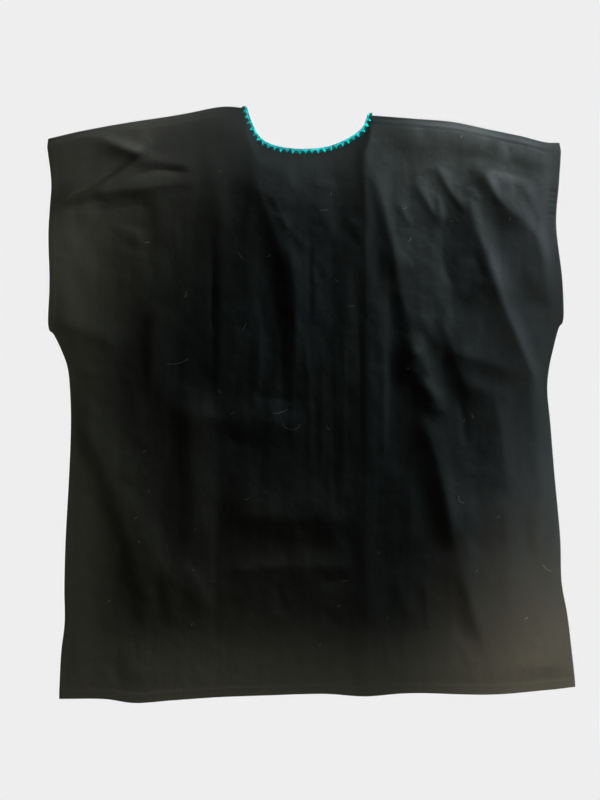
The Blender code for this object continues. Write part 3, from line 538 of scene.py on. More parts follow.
def freedom(fall, share, at_sides):
    """How free the cloth is at every point, from 0 where it is sewn down to 1."""
    from_left, from_right, from_top, from_hem = distances(fall, share)
    in_from_side = ease(0, SIDE_FADE, np.minimum(from_left, from_right))
    free = at_sides[:, None] + (1 - at_sides[:, None]) * in_from_side
    free = free * ease(0, TOP_FADE, from_top)
    return free * (HEM_RELIEF + (1 - HEM_RELIEF) * ease(0, HEM_FADE, from_hem))


back_height = loose_height(back_plan) * freedom(back_fall, across, edge_relief)
print("the loose back rises", round(1000 * back_height.max(), 1), "mm over its seams")

# %% Turn the edges in
CUFF_TURNING = 0.0085
HEM_TURNING = 0.0112
SEAM_DEPTHS = (0.0055, 0.0105)      # the shoulder seam lies deeper towards the right cuff
CUFF_ENDS = (-0.30, 0.28)
STEP = 0.0034             # width over which a turning's edge dies away

cuff_foot = next(section.left_y for section in SECTIONS if section.place == "cuff end")
on_shoulder = np.ones(len(across))
on_shoulder[LEFT_COLUMNS + 1:LEFT_COLUMNS + NECK_COLUMNS] = 0.0
seam_depth = np.interp(back_plan[..., 0], CUFF_ENDS, SEAM_DEPTHS)


def band(distance, width):
    """1 inside a turning of that width, 0 past its edge."""
    return 1.0 - ease(width - STEP / 2, width + STEP / 2, distance)


def turned_in(plan, fall, share):
    """1 where the cloth is double, at the hem, the cuffs and the shoulder seam."""
    from_left, from_right, from_top, from_hem = distances(fall, share)
    in_cuff = plan[..., 1] > cuff_foot
    return np.maximum.reduce([band(from_hem, HEM_TURNING),
                              band(np.minimum(from_left, from_right), CUFF_TURNING) * in_cuff,
                              band(from_top, seam_depth) * on_shoulder])


back_doubled = turned_in(back_plan, back_fall, across)
print(round(100 * back_doubled.mean()), "percent of the back's points are double")

# %% Roll the shoulders and seat the neck
NECK_BRIDGE = 0.030       # how far from the neck the cloth comes down off the crochet
SHOULDER_ROLL = 0.0032
ROLL_REACH = 0.0105
ROLL_UNEVENNESS = 0.45
SEAM_PULL = 0.0004        # how far the shoulder seam's thread draws the cloth down
SEAM_LINE = 0.0006        # how far past the turning that thread runs
SEAM_LINE_WIDTH = 0.0009
PULL_UNEVENNESS = 0.8


def neck_bridge(plan):
    """1 over the neck, 0 past the cloth beside it that rests on the crochet."""
    neck_left, neck_right = top_edge[[LEFT_COLUMNS, LEFT_COLUMNS + NECK_COLUMNS], 0]
    beside_neck = np.maximum(neck_left - plan[..., 0], plan[..., 0] - neck_right)
    return 1.0 - ease(0.0, NECK_BRIDGE, np.maximum(0.0, beside_neck))


def shoulder_roll(plan, from_top, bridge):
    """The height of the rolled shoulder edge, less what its seam's thread draws down."""
    rolled = SHOULDER_ROLL * on_shoulder * ease(0.0, ROLL_REACH, from_top)
    rolled *= (1.0 - ease(ROLL_REACH, 4 * ROLL_REACH, from_top)) * (1.0 - bridge)
    rolled *= 1.0 + ROLL_UNEVENNESS * rumple(plan * (1.6, 0.4), 34.0, 8.8)
    past_seam = (from_top - seam_depth - SEAM_LINE) / SEAM_LINE_WIDTH
    drawn_in = SEAM_PULL * np.exp(-past_seam ** 2) * on_shoulder
    return rolled - drawn_in * (1.0 + PULL_UNEVENNESS * rumple(plan * (3.0, 0.4), 40.0, 2.6))


bridge = neck_bridge(back_plan)
seat = CLOTH + SEAM_GAP + bridge * (EDGING_BACK_Z - CLOTH / 2 - CLOTH - SEAM_GAP)
back_from_top = distances(back_fall, across)[2]
back_under = seat + shoulder_roll(back_plan, back_from_top, bridge) + back_height
print("the back's underside is", round(1000 * back_under.min(), 2), "to",
      round(1000 * back_under.max(), 2), "mm up")


# %% Make a panel from its grid
TURNING = 0.0004          # how much thicker a turning is than the cloth
EDGE_SOFTNESS = 0.0004


def panel_mesh(name, plan, height, doubled=None):
    """A sheet with its wall: the grid, Solidify for the cloth and Bevel for its edges."""
    rows, columns = plan.shape[:2]
    corners = np.dstack([plan, height]).reshape(-1, 3)
    index = np.arange(rows * columns).reshape(rows, columns)
    faces = np.stack([index[:-1, :-1], index[1:, :-1], index[1:, 1:], index[:-1, 1:]], axis=-1)
    mesh = bpy.data.meshes.new(name)
    mesh.from_pydata(corners.tolist(), [], faces.reshape(-1, 4).tolist())
    mesh.shade_smooth()
    panel = bpy.data.objects.new(name, mesh)
    bpy.context.scene.collection.objects.link(panel)
    wall = panel.modifiers.new("cloth", "SOLIDIFY")
    wall.thickness = CLOTH
    wall.offset = 1.0
    if doubled is not None:
        group = panel.vertex_groups.new(name="doubled")
        for vertex, weight in enumerate(doubled.reshape(-1).tolist()):
            if weight > 0.0:
                group.add([vertex], weight, "REPLACE")
        wall.thickness = CLOTH + TURNING
        wall.vertex_group = "doubled"
        wall.thickness_vertex_group = CLOTH / (CLOTH + TURNING)
    edge = panel.modifiers.new("soft edge", "BEVEL")
    edge.width = EDGE_SOFTNESS
    edge.segments = 2
    edge.limit_method = "ANGLE"
    edge.angle_limit = math.radians(55)
    if doubled is not None:
        # Bevel can leave a weight a hair below zero; this one holds them between 0 and 1.
        held = panel.modifiers.new("weights in range", "VERTEX_WEIGHT_EDIT")
        held.vertex_group = "doubled"
    return panel


back_cloth = panel_mesh("back_cloth", back_plan, back_under, back_doubled)
print("the back has", len(back_cloth.data.polygons), "faces before its modifiers")

# %% [markdown]
# ## The front panel
#
# The front is the same cut with a deeper neck. It lies face down and flat, and carries
# the back, so only its neck edge and its underside ever show. A few shallow creases,
# pressed in by the weight above, keep that underside from looking like card.

# %% The front's creases
FRONT_CREASES = folds(
    ("front storage crease 1", (-0.118, 0.19), (-0.114, 0.0), (-0.116, -0.345), 0.0005, 0.004, 0.005, 1.4),
    ("front storage crease 2", (0.082, 0.22), (0.08, 0.0), (0.084, -0.345), 0.0005, 0.004, 0.004, 1.4),
    ("front left sleeve crease", (-0.29, 0.214), (-0.214, 0.236), (-0.13, 0.24), 0.0005, 0.005, 0.004, 1.5),
    ("front right sleeve crease", (0.13, 0.262), (0.196, 0.206), (0.262, 0.11), 0.0005, 0.005, 0.006, 1.5),
    ("front left hip crease", (-0.262, -0.03), (-0.216, -0.13), (-0.18, -0.27), 0.0005, 0.006, 0.005, 1.5),
    ("front right hip crease", (0.13, 0.02), (0.168, -0.12), (0.2, -0.29), 0.0005, 0.006, 0.006, 1.5),
    ("front belly crease", (-0.09, 0.03), (-0.01, 0.012), (0.1, 0.04), 0.0004, 0.005, 0.005, 1.5),
    ("front waist crease", (-0.06, -0.14), (0.03, -0.12), (0.12, -0.15), 0.0004, 0.005, 0.006, 1.5),
)
print(len(FRONT_CREASES), "creases in the front")

# %% Stretch the front's grid
FRONT_LEFT, FRONT_NECK, FRONT_RIGHT = 30, 56, 30
FRONT_ROWS = 0.55         # rows of the front, as a share of the back's
FRONT_INSET = 0.0012      # how far the front's outline lies inside the back's
STRAIGHTNESS = 0.85

front_left_edge, _ = side_line("left", FRONT_ROWS)
front_right_edge, _ = side_line("right", FRONT_ROWS)
front_neck_cloth = beside(front_neck_centre, EDGING_WIDTH / 2 + SEAM_GAP - UNDER_CROCHET)[::-1]
front_top = top_line(front_neck_cloth, FRONT_LEFT, FRONT_NECK, FRONT_RIGHT)
front_across = column_shares(FRONT_LEFT, FRONT_NECK, FRONT_RIGHT)
in_neck = slice(FRONT_LEFT, FRONT_LEFT + FRONT_NECK + 1)
# Columns that start on the neck's steep sides run straight down, or they would cross.
straight_down = (front_top[in_neck, 0] - HEM[0][0]) / panel_width
front_across[in_neck] += STRAIGHTNESS * (straight_down - front_across[in_neck])
front_hem = at_shares(through(HEM), front_across)
front_plan, front_fall = stretched(front_top, front_hem, front_left_edge, front_right_edge,
                                   front_across, front_across[FRONT_LEFT],
                                   1.0 - front_across[FRONT_LEFT + FRONT_NECK])
garment_middle = np.array([(cad_low[0] + cad_high[0]) / 2, 0.0])
smaller = 1 - 2 * FRONT_INSET / np.array([panel_width, panel_height])
front_plan = garment_middle + (front_plan - garment_middle) * smaller
print("the front has", front_plan.shape[0] * front_plan.shape[1], "points")

# %% Lay the front
PRESSED_DEPTH = 0.0005
STITCH_ROOM = 0.0009      # the cloth lifts this far over the crochet's stitches
ROOM_ENDS = (0.004, 0.008)          # and comes down again between these, from the neck

at_neck = np.zeros(len(front_across))
at_neck[in_neck] = 1.0
front_from_top = distances(front_fall, front_across)[2]
front_height = np.minimum(PRESSED_DEPTH, fold_relief(front_plan, FRONT_CREASES))
front_height = front_height + STITCH_ROOM * (1 - ease(*ROOM_ENDS, front_from_top)) * at_neck
front_cloth = panel_mesh("front_cloth", front_plan, front_height)
print("the front rises", round(1000 * front_height.max(), 2), "mm at most")

# %% [markdown]
# ## The crocheted neck
#
# The neck is finished by hand. A needle or hook goes through the cloth a few
# millimetres in, and the thread comes up to the edge and is caught in the loop before.
# That leaves a chain of links along the edge, with legs that meet at each hole. Every
# strand is modelled as two plies twisted together, carried along its own short path. One
# band with a bumpy paint would be less work, but its edge would be smooth, and here the
# edge is what shows against a pale ground.

# %% The route of the crochet
TURN_STEPS = 12


def crochet_route():
    """Points round both necklines, and the way that the outer face looks at each."""
    radius = (EDGING_BACK_Z - EDGING_FRONT_Z) / 2
    middle = (EDGING_BACK_Z + EDGING_FRONT_Z) / 2
    angle = np.linspace(0, math.pi, TURN_STEPS + 1)[1:-1]
    none = np.zeros_like(angle)

    def turn(corner, swing):
        out = np.stack([none, np.sin(swing), np.cos(swing)], axis=1)
        return np.array([corner[0], corner[1], middle]) + radius * out, out

    back = np.column_stack([back_neck_centre, np.full(len(back_neck_centre), EDGING_BACK_Z)])
    front = np.column_stack([front_neck_centre, np.full(len(front_neck_centre), EDGING_FRONT_Z)])
    right_turn, right_out = turn(back_neck_centre[-1], angle)
    left_turn, left_out = turn(back_neck_centre[0], angle[::-1])
    points = np.vstack([back, right_turn, front, left_turn])
    faces = np.vstack([np.tile((0, 0, 1.0), (len(back), 1)), right_out,
                       np.tile((0, 0, -1.0), (len(front), 1)), left_out])
    return np.vstack([points, points[:1]]), np.vstack([faces, faces[:1]])


route, route_face = crochet_route()
route_reach = reach_of(route)

# %% Share the route out in links
LINK_PITCH = 0.0071
LOOK_AHEAD = 0.0004       # how far on a point is taken to find the route's direction

link_count = round(route_reach[-1] / LINK_PITCH)
pitch = route_reach[-1] / link_count
print(link_count, "links of", round(1000 * pitch, 2), "mm")


def on_route(distance):
    """Place, way to the cloth and outward way at a distance round the neck."""
    distance = distance % route_reach[-1]
    ahead = (distance + LOOK_AHEAD) % route_reach[-1]
    place = np.array([np.interp(distance, route_reach, route[:, k]) for k in range(3)])
    later = np.array([np.interp(ahead, route_reach, route[:, k]) for k in range(3)])
    out = np.array([np.interp(distance, route_reach, route_face[:, k]) for k in range(3)])
    along = (later - place) / np.linalg.norm(later - place)
    out = out - along * (out @ along)
    out /= np.linalg.norm(out)
    return place, np.cross(along, out), out


# %% Twisted strands
PLY = 0.58                # radius of one ply, as a share of the strand's
LAY = 0.0026              # length of one turn of the twist
PLY_SIDES = 5
PLY_STEPS = 6             # rings of corners in one turn
UPRIGHT = (0.12, 0.21, 0.97)        # leans a little, so that no strand runs along it


def strand(points, radius, closed=False):
    """Corners and faces of two plies twisted along a path."""
    fine = through(np.vstack([points, points[:1]]) if closed else points, 6)
    reach = reach_of(fine)
    steps = max(PLY_STEPS, round(PLY_STEPS * reach[-1] / LAY))
    spine = at_shares(fine, np.linspace(0, 1, steps + 1))
    turns = max(1, round(reach[-1] / LAY))
    run = np.gradient(spine, axis=0)
    run /= np.linalg.norm(run, axis=1)[:, None]
    side = np.cross(run, UPRIGHT)
    side /= np.linalg.norm(side, axis=1)[:, None]
    rise = np.cross(run, side)
    corners, faces = [], []
    around = np.arange(PLY_SIDES) * 2 * math.pi / PLY_SIDES
    for phase in (0.0, math.pi):
        swing = np.linspace(0, 2 * math.pi * turns, steps + 1) + phase
        shift = (1 - PLY) * radius
        centre = spine + shift * (np.cos(swing)[:, None] * side + np.sin(swing)[:, None] * rise)
        start = len(corners)
        for k in range(steps + 1):
            for a in around:
                corners.append(centre[k] + PLY * radius * (math.cos(a) * side[k]
                                                           + math.sin(a) * rise[k]))
        for k in range(steps):
            for s in range(PLY_SIDES):
                t = (s + 1) % PLY_SIDES
                one, two = start + k * PLY_SIDES, start + (k + 1) * PLY_SIDES
                faces.append((one + s, one + t, two + t, two + s))
        faces.append(tuple(start + s for s in reversed(range(PLY_SIDES))))
        faces.append(tuple(start + steps * PLY_SIDES + s for s in range(PLY_SIDES)))
    return corners, faces


def joined(name, parts):
    """One object from many (corners, faces) pairs."""
    corners, faces = [], []
    for part_corners, part_faces in parts:
        start = len(corners)
        corners += [tuple(c) for c in part_corners]
        faces += [tuple(start + i for i in face) for face in part_faces]
    mesh = bpy.data.meshes.new(name)
    mesh.from_pydata(corners, [], faces)
    mesh.shade_smooth()
    piece = bpy.data.objects.new(name, mesh)
    bpy.context.scene.collection.objects.link(piece)
    return piece


# %% [markdown]
# Each repeat has two chain stitches along the edge and one spike: four strands that
# leave the chain apart and meet in a single hole in the cloth. The holes are made by
# eye, so no two spikes are quite as deep, and some lean. A core strand runs inside the
# chain, as the working thread does, and closes it.

# %% The shape of a link and of a spike
# Points of one chain link: along the route in shares of a link, then from the middle of
# the edging towards the cloth and outward from it, in metres.
LINK = ((-0.62, 0.0000, -0.0003), (-0.25, -0.0008, 0.0002), (0.25, -0.0009, 0.0003),
        (0.62, 0.0000, 0.0002), (0.25, 0.0008, 0.0003), (-0.25, 0.0007, 0.0000))
LINK_THREAD = 0.00056
CORE_THREAD = 0.00060
SPIKE_THREAD = 0.00044
SPIKE_STARTS = (-0.215, -0.075, 0.075, 0.215)   # shares of a repeat, where they leave
SPIKE_DEPTH = 0.0041                 # from the middle of the edging to the hole
CHAIN_SHIFT = -0.0005                # the chain sits this far out on the open edge
TABLE_ROOM = 1.1                     # least height of a thread's middle, in radii


def placed(distance, step, shape, thread_radius):
    """A shape's points carried to their place round the neck, and kept off the table."""
    points = []
    for share, over, out in shape:
        place, to_cloth, outward = on_route(distance + share * step)
        point = place + over * to_cloth + out * outward
        point[2] = max(point[2], TABLE_ROOM * thread_radius)
        points.append(point)
    return np.array(points)


def spike_shape(start, depth, lean):
    """A strand from the chain over the cloth's edge to its hole."""
    lie = CLOTH / 2 + 2.2 * SPIKE_THREAD
    return ((start, -0.0004, 0.0001), (0.98 * start + 0.1 * lean, 0.0008, 0.8 * lie),
            (0.62 * start + 0.5 * lean, 0.0022, lie),
            (0.14 * start + lean, depth - 0.0005, lie),
            (0.08 * start + lean, depth, lie - 0.0010))


# %% Crochet the links and their spikes
DEPTH_WANDER, SWING, LEAN = 0.16, 0.06, 0.22   # how far a spike strays, as shares

strands = []
half = pitch / 2
chain = [(share, over + CHAIN_SHIFT, out) for share, over, out in LINK]
for link in range(2 * link_count):
    spine = placed((link + 0.5) * half, half, chain, LINK_THREAD)
    strands.append(strand(spine, LINK_THREAD, closed=True))
core = [(share, CHAIN_SHIFT, -0.0001) for share in (0.0, 0.25, 0.5, 0.75)]
core_points = [placed(link * pitch, pitch, core, CORE_THREAD) for link in range(link_count)]
strands.append(strand(np.vstack(core_points), CORE_THREAD, closed=True))
for link in range(link_count):
    depth = SPIKE_DEPTH * (1 + DEPTH_WANDER * noise.noise(Vector((link * 1.7, 0.3, 0.9))))
    middle = link + 0.5 + SWING * noise.noise(Vector((link * 2.3, 5.1, 0.4)))
    lean = LEAN * noise.noise(Vector((link * 3.1, 2.7, 7.3)))
    for start in SPIKE_STARTS:
        spine = placed(middle * pitch, pitch, spike_shape(start, depth, lean), SPIKE_THREAD)
        strands.append(strand(spine, SPIKE_THREAD))
crochet = joined("crochet_edging", strands)
print("the crochet has", len(crochet.data.polygons), "faces")

# %% [markdown]
# Under the spikes, thread also runs along the edge, wrapped round it from stitch to
# stitch, and in the shade of the spikes it shows as dark gaps between them. It is laid as
# three strands, each with a slight sway, and kept as a piece of its own so that it can take
# a darker paint: painted shade, for the shade that the spikes cast on it.

# %% Lay the wraps under the spikes
Wrap = namedtuple("Wrap", "over sway")   # way in over the cloth, and to each side of it
WRAPS = (Wrap(0.0012, 0.00021), Wrap(0.0024, 0.000285), Wrap(0.0031, 0.00039))
WRAP_THREAD = 0.00050

wraps = []
lie = CLOTH / 2 + 0.8 * WRAP_THREAD
for wrap in WRAPS:
    shape = [(share, wrap.over + wrap.sway * math.sin(2 * math.pi * share), lie)
             for share in (0.0, 0.25, 0.5, 0.75)]
    run = [placed(link * pitch, pitch, shape, WRAP_THREAD) for link in range(link_count)]
    wraps.append(strand(np.vstack(run), WRAP_THREAD, closed=True))
crochet_wraps = joined("crochet_wraps", wraps)
print("the wraps have", len(crochet_wraps.data.polygons), "faces")

# %% [markdown]
# ## Machine stitches
#
# The hem, the cuffs and the vents are turned in and stitched with black thread. The
# stitches hardly show, but they pull the turning tight and catch a little light. A
# dashed bump could stand for them, but it would need the cloth unwrapped to follow its
# edges. So each is a short spindle whose ends dip into the cloth, and rays cast down from
# above find the height of the cloth under it.

# %% Lines that follow the cloth's edges
cloth_surface = BVHTree.FromObject(back_cloth, bpy.context.evaluated_depsgraph_get())


def on_cloth(x, y):
    """The point of the back's upper face under a place, and the way that it faces."""
    point, normal, _, _ = cloth_surface.ray_cast(Vector((x, y, 0.2)), Vector((0, 0, -1)))
    return point, normal


def row_line(from_hem):
    """A line right across the back at a distance from the hem."""
    fall = 1.0 - from_hem / panel_height
    return np.array([[np.interp(fall, back_fall, back_plan[:, c, k]) for k in (0, 1)]
                     for c in range(back_plan.shape[1])])


def side_run(inset, top_y, foot_y):
    """A line down the back, so far in from the left edge, or the right if negative."""
    share = (inset / panel_width) % 1.0
    line = np.array([[np.interp(share, across, back_plan[r, :, k]) for k in (0, 1)]
                     for r in range(back_plan.shape[0])])
    return line[(line[:, 1] < top_y) & (line[:, 1] > foot_y)]


# %% Sew along them
STITCH = 0.0023
STITCH_PITCH = 0.0030
STITCH_RADIUS = 0.00024
STITCH_SIDES = 5
Ring = namedtuple("Ring", "share girth lift")   # along the stitch, then in its radii
RINGS = (Ring(0.0, 0.35, -1.6), Ring(0.18, 0.9, -0.1), Ring(0.5, 1.0, 0.35),
         Ring(0.82, 0.9, -0.1), Ring(1.0, 0.35, -1.6))


def stitched(line):
    """Spindles end to end along a line on the cloth, as corners and faces."""
    count = int(reach_of(line)[-1] / STITCH_PITCH)
    middles = at_shares(line, (np.arange(count) + 0.5) / count)
    runs = np.gradient(middles, axis=0)
    corners, faces = [], []
    for (x, y), run in zip(middles, runs):
        point, normal = on_cloth(x, y)
        along = Vector((run[0], run[1], 0.0)).normalized()
        along = (along - along.dot(normal) * normal).normalized()
        sideways = normal.cross(along)
        first = len(corners)
        for ring in RINGS:
            centre = (point + (ring.share - 0.5) * STITCH * along
                      + ring.lift * STITCH_RADIUS * normal)
            for side in range(STITCH_SIDES):
                angle = side * 2 * math.pi / STITCH_SIDES
                way = math.cos(angle) * sideways + math.sin(angle) * normal
                corners.append(centre + ring.girth * STITCH_RADIUS * way)
        for here in range(first, first + STITCH_SIDES * (len(RINGS) - 1), STITCH_SIDES):
            for side in range(STITCH_SIDES):
                one, two = here + side, here + (side + 1) % STITCH_SIDES
                faces.append((one, two, two + STITCH_SIDES, one + STITCH_SIDES))
    return corners, faces


# %% Sew the hem, the cuffs and the vents
HEM_MARGIN = 0.0016       # from a seam to the raw edge of its turning
CUFF_MARGIN = 0.0014
CUFF_SEAM = (0.296, 0.094)          # where a seam starts and ends, up the panel
LEFT_VENT_SEAM = (-0.252, -0.330)
RIGHT_VENT_SEAM = (-0.206, -0.316)
VENT_INSET = 0.0050

seams = [row_line(HEM_TURNING - HEM_MARGIN),
         side_run(CUFF_TURNING - CUFF_MARGIN, *CUFF_SEAM),
         side_run(CUFF_MARGIN - CUFF_TURNING, *CUFF_SEAM),
         side_run(VENT_INSET, *LEFT_VENT_SEAM), side_run(-VENT_INSET, *RIGHT_VENT_SEAM)]
stitches = joined("stitches", [stitched(seam) for seam in seams])
print("the stitches have", len(stitches.data.polygons), "faces")

# %% [markdown]
# ## Lint
#
# Black cotton shows every pale fibre that settles on it. Each bit here is a fine hair,
# bent into an arc, and a row says where it lies, how long it is, which way it points
# and how far it curls. A particle system could strew them, but never at chosen places.

# %% The bits of lint
Lint = namedtuple("Lint", "x y length points curls")   # metres, then degrees
LINT = (
    Lint(0.0145, 0.2250, 0.0090, 5, 20), Lint(0.0230, 0.2440, 0.0040, 80, 60),
    Lint(-0.0825, 0.1725, 0.0100, -55, 30), Lint(-0.0490, 0.1720, 0.0050, 20, 90),
    Lint(-0.1060, 0.2700, 0.0040, 60, 50), Lint(-0.1900, 0.1880, 0.0050, 10, 40),
    Lint(-0.0230, -0.0290, 0.0260, 0, 130), Lint(-0.0390, -0.0100, 0.0110, 10, 60),
    Lint(-0.0300, -0.0070, 0.0060, 40, 40), Lint(0.0190, -0.0270, 0.0080, -60, 70),
    Lint(-0.0780, 0.0890, 0.0090, 60, 20), Lint(-0.1070, 0.0160, 0.0060, -60, 40),
    Lint(-0.0910, -0.0100, 0.0050, 15, 60), Lint(-0.1540, 0.0480, 0.0250, 14, 40),
    Lint(-0.1450, 0.1270, 0.0080, 70, 90), Lint(-0.1930, -0.0540, 0.0035, 30, 60),
    Lint(-0.1880, -0.1000, 0.0035, 75, 40), Lint(-0.2030, -0.1310, 0.0030, 20, 60),
    Lint(-0.1990, -0.1580, 0.0030, -30, 60), Lint(-0.1340, -0.1440, 0.0035, 60, 50),
    Lint(-0.1360, -0.1910, 0.0030, 10, 50), Lint(-0.2340, -0.2270, 0.0030, 45, 40),
    Lint(-0.1380, -0.2540, 0.0040, 70, 50), Lint(0.1080, 0.2270, 0.0050, 30, 60),
    Lint(0.1140, 0.1900, 0.0060, 60, 100), Lint(0.1620, 0.2120, 0.0040, 5, 40),
    Lint(0.2290, 0.2140, 0.0035, 80, 60), Lint(0.1740, 0.3100, 0.0035, 50, 50),
    Lint(0.1110, 0.0410, 0.0040, 15, 60), Lint(0.1770, -0.0180, 0.0050, 65, 40),
    Lint(0.1860, -0.0130, 0.0060, -70, 60), Lint(0.1710, -0.1110, 0.0120, -50, 120),
    Lint(0.2160, -0.1300, 0.0035, 20, 50), Lint(0.1910, -0.1920, 0.0035, 60, 60),
    Lint(0.2720, -0.1900, 0.0130, -38, 50), Lint(0.2490, -0.2470, 0.0040, 30, 60),
    Lint(0.0880, -0.2470, 0.0035, 70, 40), Lint(0.0385, -0.2040, 0.0080, 8, 30),
    Lint(0.0100, -0.2780, 0.0035, 50, 60), Lint(0.0320, -0.2330, 0.0040, 10, 70),
    Lint(0.0780, -0.1710, 0.0035, 80, 40), Lint(0.0460, 0.1140, 0.0080, 3, 20),
    Lint(-0.0740, -0.1090, 0.0050, 20, 50), Lint(0.0290, 0.1430, 0.0045, -50, 60),
)

# %% Strew the lint
HAIR = 0.00014            # radius of a hair
HAIR_LIFT = 1.3           # height of its middle over the cloth, in radii
HAIR_STEPS = 8


def hair(bit):
    """One bit of lint, laid in an arc on the cloth."""
    turn = math.radians(bit.points)
    curl = math.radians(bit.curls)
    radius = bit.length / curl
    spine = []
    for step in range(HAIR_STEPS + 1):
        angle = (step / HAIR_STEPS - 0.5) * curl
        ahead, aside = radius * math.sin(angle), radius * (1.0 - math.cos(angle))
        x = bit.x + ahead * math.cos(turn) - aside * math.sin(turn)
        y = bit.y + ahead * math.sin(turn) + aside * math.cos(turn)
        point, _ = on_cloth(x, y)
        spine.append((x, y, point.z + HAIR_LIFT * HAIR))
    return strand(np.array(spine), HAIR)


lint = joined("lint", [hair(bit) for bit in LINT])
print(len(LINT), "bits of lint,", len(lint.data.polygons), "faces")

# %% [markdown]
# ## Black cotton
#
# Dyed black cotton is never quite black. It sends back a little light from its nap, more
# where it is seen or lit at a low angle, and that is what draws the folds. A plain weave
# shows close up as tiny squares, and slubs, the thicker stretches of thread, show as
# faint streaks both ways. Under the weave are softer marks: long lines where the loom's
# reed left the warp uneven, and small crumples from lying folded. Both are only a bump,
# much lower than any crease that is modelled. They could be raised in the mesh as well,
# but that would take a far finer grid. All of it comes from object coordinates, so no
# UVs are needed.


# %% Node helpers
def new_material(name):
    """A material with its node tree and its shader."""
    material = bpy.data.materials.new(name)
    material.use_nodes = True
    tree = material.node_tree
    return material, tree, tree.nodes["Principled BSDF"]


def add(tree, kind, **settings):
    """A node, with plain settings by attribute and number settings by socket name."""
    node = tree.nodes.new(kind)
    for key, value in settings.items():
        if hasattr(node, key):
            setattr(node, key, value)
        else:
            node.inputs[key.replace("_", " ")].default_value = value
    return node


def stretched_noise(tree, coordinates, scale, detail=3.0):
    """Noise stretched along one way by a mapping scale of three numbers."""
    mapping = add(tree, "ShaderNodeMapping")
    mapping.inputs["Scale"].default_value = scale
    texture = add(tree, "ShaderNodeTexNoise", Scale=1.0, Detail=detail)
    tree.links.new(coordinates, mapping.inputs["Vector"])
    tree.links.new(mapping.outputs["Vector"], texture.inputs["Vector"])
    return texture.outputs["Fac"]


# %% Sums, colours and bumps
def combined(tree, operation, first, second):
    """Two values put together by a Math node."""
    node = add(tree, "ShaderNodeMath", operation=operation)
    for socket, value in zip(node.inputs, (first, second)):
        if isinstance(value, (int, float)):
            socket.default_value = value
        else:
            tree.links.new(value, socket)
    return node.outputs[0]


def weighed(tree, first, first_weight, second, second_weight):
    """The sum of two values, each times its weight."""
    return combined(tree, "ADD", combined(tree, "MULTIPLY", first, first_weight),
                    combined(tree, "MULTIPLY", second, second_weight))


def between(tree, tone, dark, light, low, high):
    """A colour from dark, where the tone is low, to light, where it is high."""
    ramp = add(tree, "ShaderNodeValToRGB")
    for stop, place, colour in zip(ramp.color_ramp.elements, (low, high), (dark, light)):
        stop.position = place
        stop.color = (*colour, 1.0)
    tree.links.new(tone, ramp.inputs["Fac"])
    return ramp.outputs["Color"]


def bumped(tree, height, strength, distance, under=None):
    """The way that a surface faces once a height is laid on it, or on another bump."""
    bump = add(tree, "ShaderNodeBump", Strength=strength, Distance=distance)
    tree.links.new(height, bump.inputs["Height"])
    if under is not None:
        tree.links.new(under, bump.inputs["Normal"])
    return bump.outputs["Normal"]


# %% Weave the cotton
THREAD_PITCH = 0.00062    # two threads of the plain weave
WAVE_PERIOD = 2 * math.pi / 20.0   # Blender's wave texture repeats over this at scale 1


def woven(tree, place):
    """The height of a plain weave: threads one way over threads the other way."""
    waves = []
    for direction in ("X", "Y"):
        wave = add(tree, "ShaderNodeTexWave", bands_direction=direction,
                   Scale=WAVE_PERIOD / THREAD_PITCH, Distortion=0.6, Detail=1.0)
        tree.links.new(place, wave.inputs["Vector"])
        waves.append(wave.outputs["Fac"])
    return combined(tree, "MAXIMUM", *waves)


def worn(tree, place):
    """The height of the softer marks: the reed's lines, in patches, and crumples."""
    reed_marks = stretched_noise(tree, place, (120.0, 7.0, 1.0), 0.0)
    crumples = stretched_noise(tree, place, (75.0, 60.0, 1.0), 4.0)
    patches = combined(tree, "SUBTRACT", stretched_noise(tree, place, (14.0, 9.0, 1.0), 1.0), 0.38)
    return weighed(tree, reed_marks, patches, crumples, 0.8)


# %% Mix the cotton
def cotton(name, dark, light):
    """Dyed cotton with slubs, a plain weave and soft marks under it."""
    material, tree, shader = new_material(name)
    place = add(tree, "ShaderNodeTexCoord").outputs["Object"]
    clouds = stretched_noise(tree, place, (9.0, 9.0, 9.0))
    warp_slubs = stretched_noise(tree, place, (900.0, 26.0, 1.0), 2.0)
    weft_slubs = stretched_noise(tree, place, (22.0, 800.0, 1.0), 2.0)
    slubs = combined(tree, "ADD", warp_slubs, weft_slubs)
    tone = weighed(tree, clouds, 0.7, slubs, 0.35)
    tree.links.new(between(tree, tone, dark, light, 0.45, 0.95), shader.inputs["Base Color"])
    surface = weighed(tree, woven(tree, place), 0.5, slubs, 0.6)
    soft = bumped(tree, worn(tree, place), 1.0, 0.0009)
    tree.links.new(bumped(tree, surface, 0.55, 0.00022, soft), shader.inputs["Normal"])
    shader.inputs["Roughness"].default_value = 0.62
    shader.inputs["Specular IOR Level"].default_value = 0.35
    shader.inputs["Sheen Weight"].default_value = 0.028
    shader.inputs["Sheen Roughness"].default_value = 0.55
    shader.inputs["Sheen Tint"].default_value = (0.80, 0.92, 1.0, 1.0)
    return material


# %% Dye the cloth and paint the lint
black_cotton = cotton("black_cotton", (0.0040, 0.0044, 0.0036), (0.0076, 0.0080, 0.0068))
for piece in (back_cloth, front_cloth, stitches):
    piece.data.materials.append(black_cotton)

lint_paint, _, lint_shader = new_material("pale_lint")
lint_shader.inputs["Base Color"].default_value = (0.42, 0.42, 0.39, 1.0)
lint_shader.inputs["Roughness"].default_value = 0.9
lint.data.materials.append(lint_paint)
print("materials:", ", ".join(sorted(material.name for material in bpy.data.materials)))
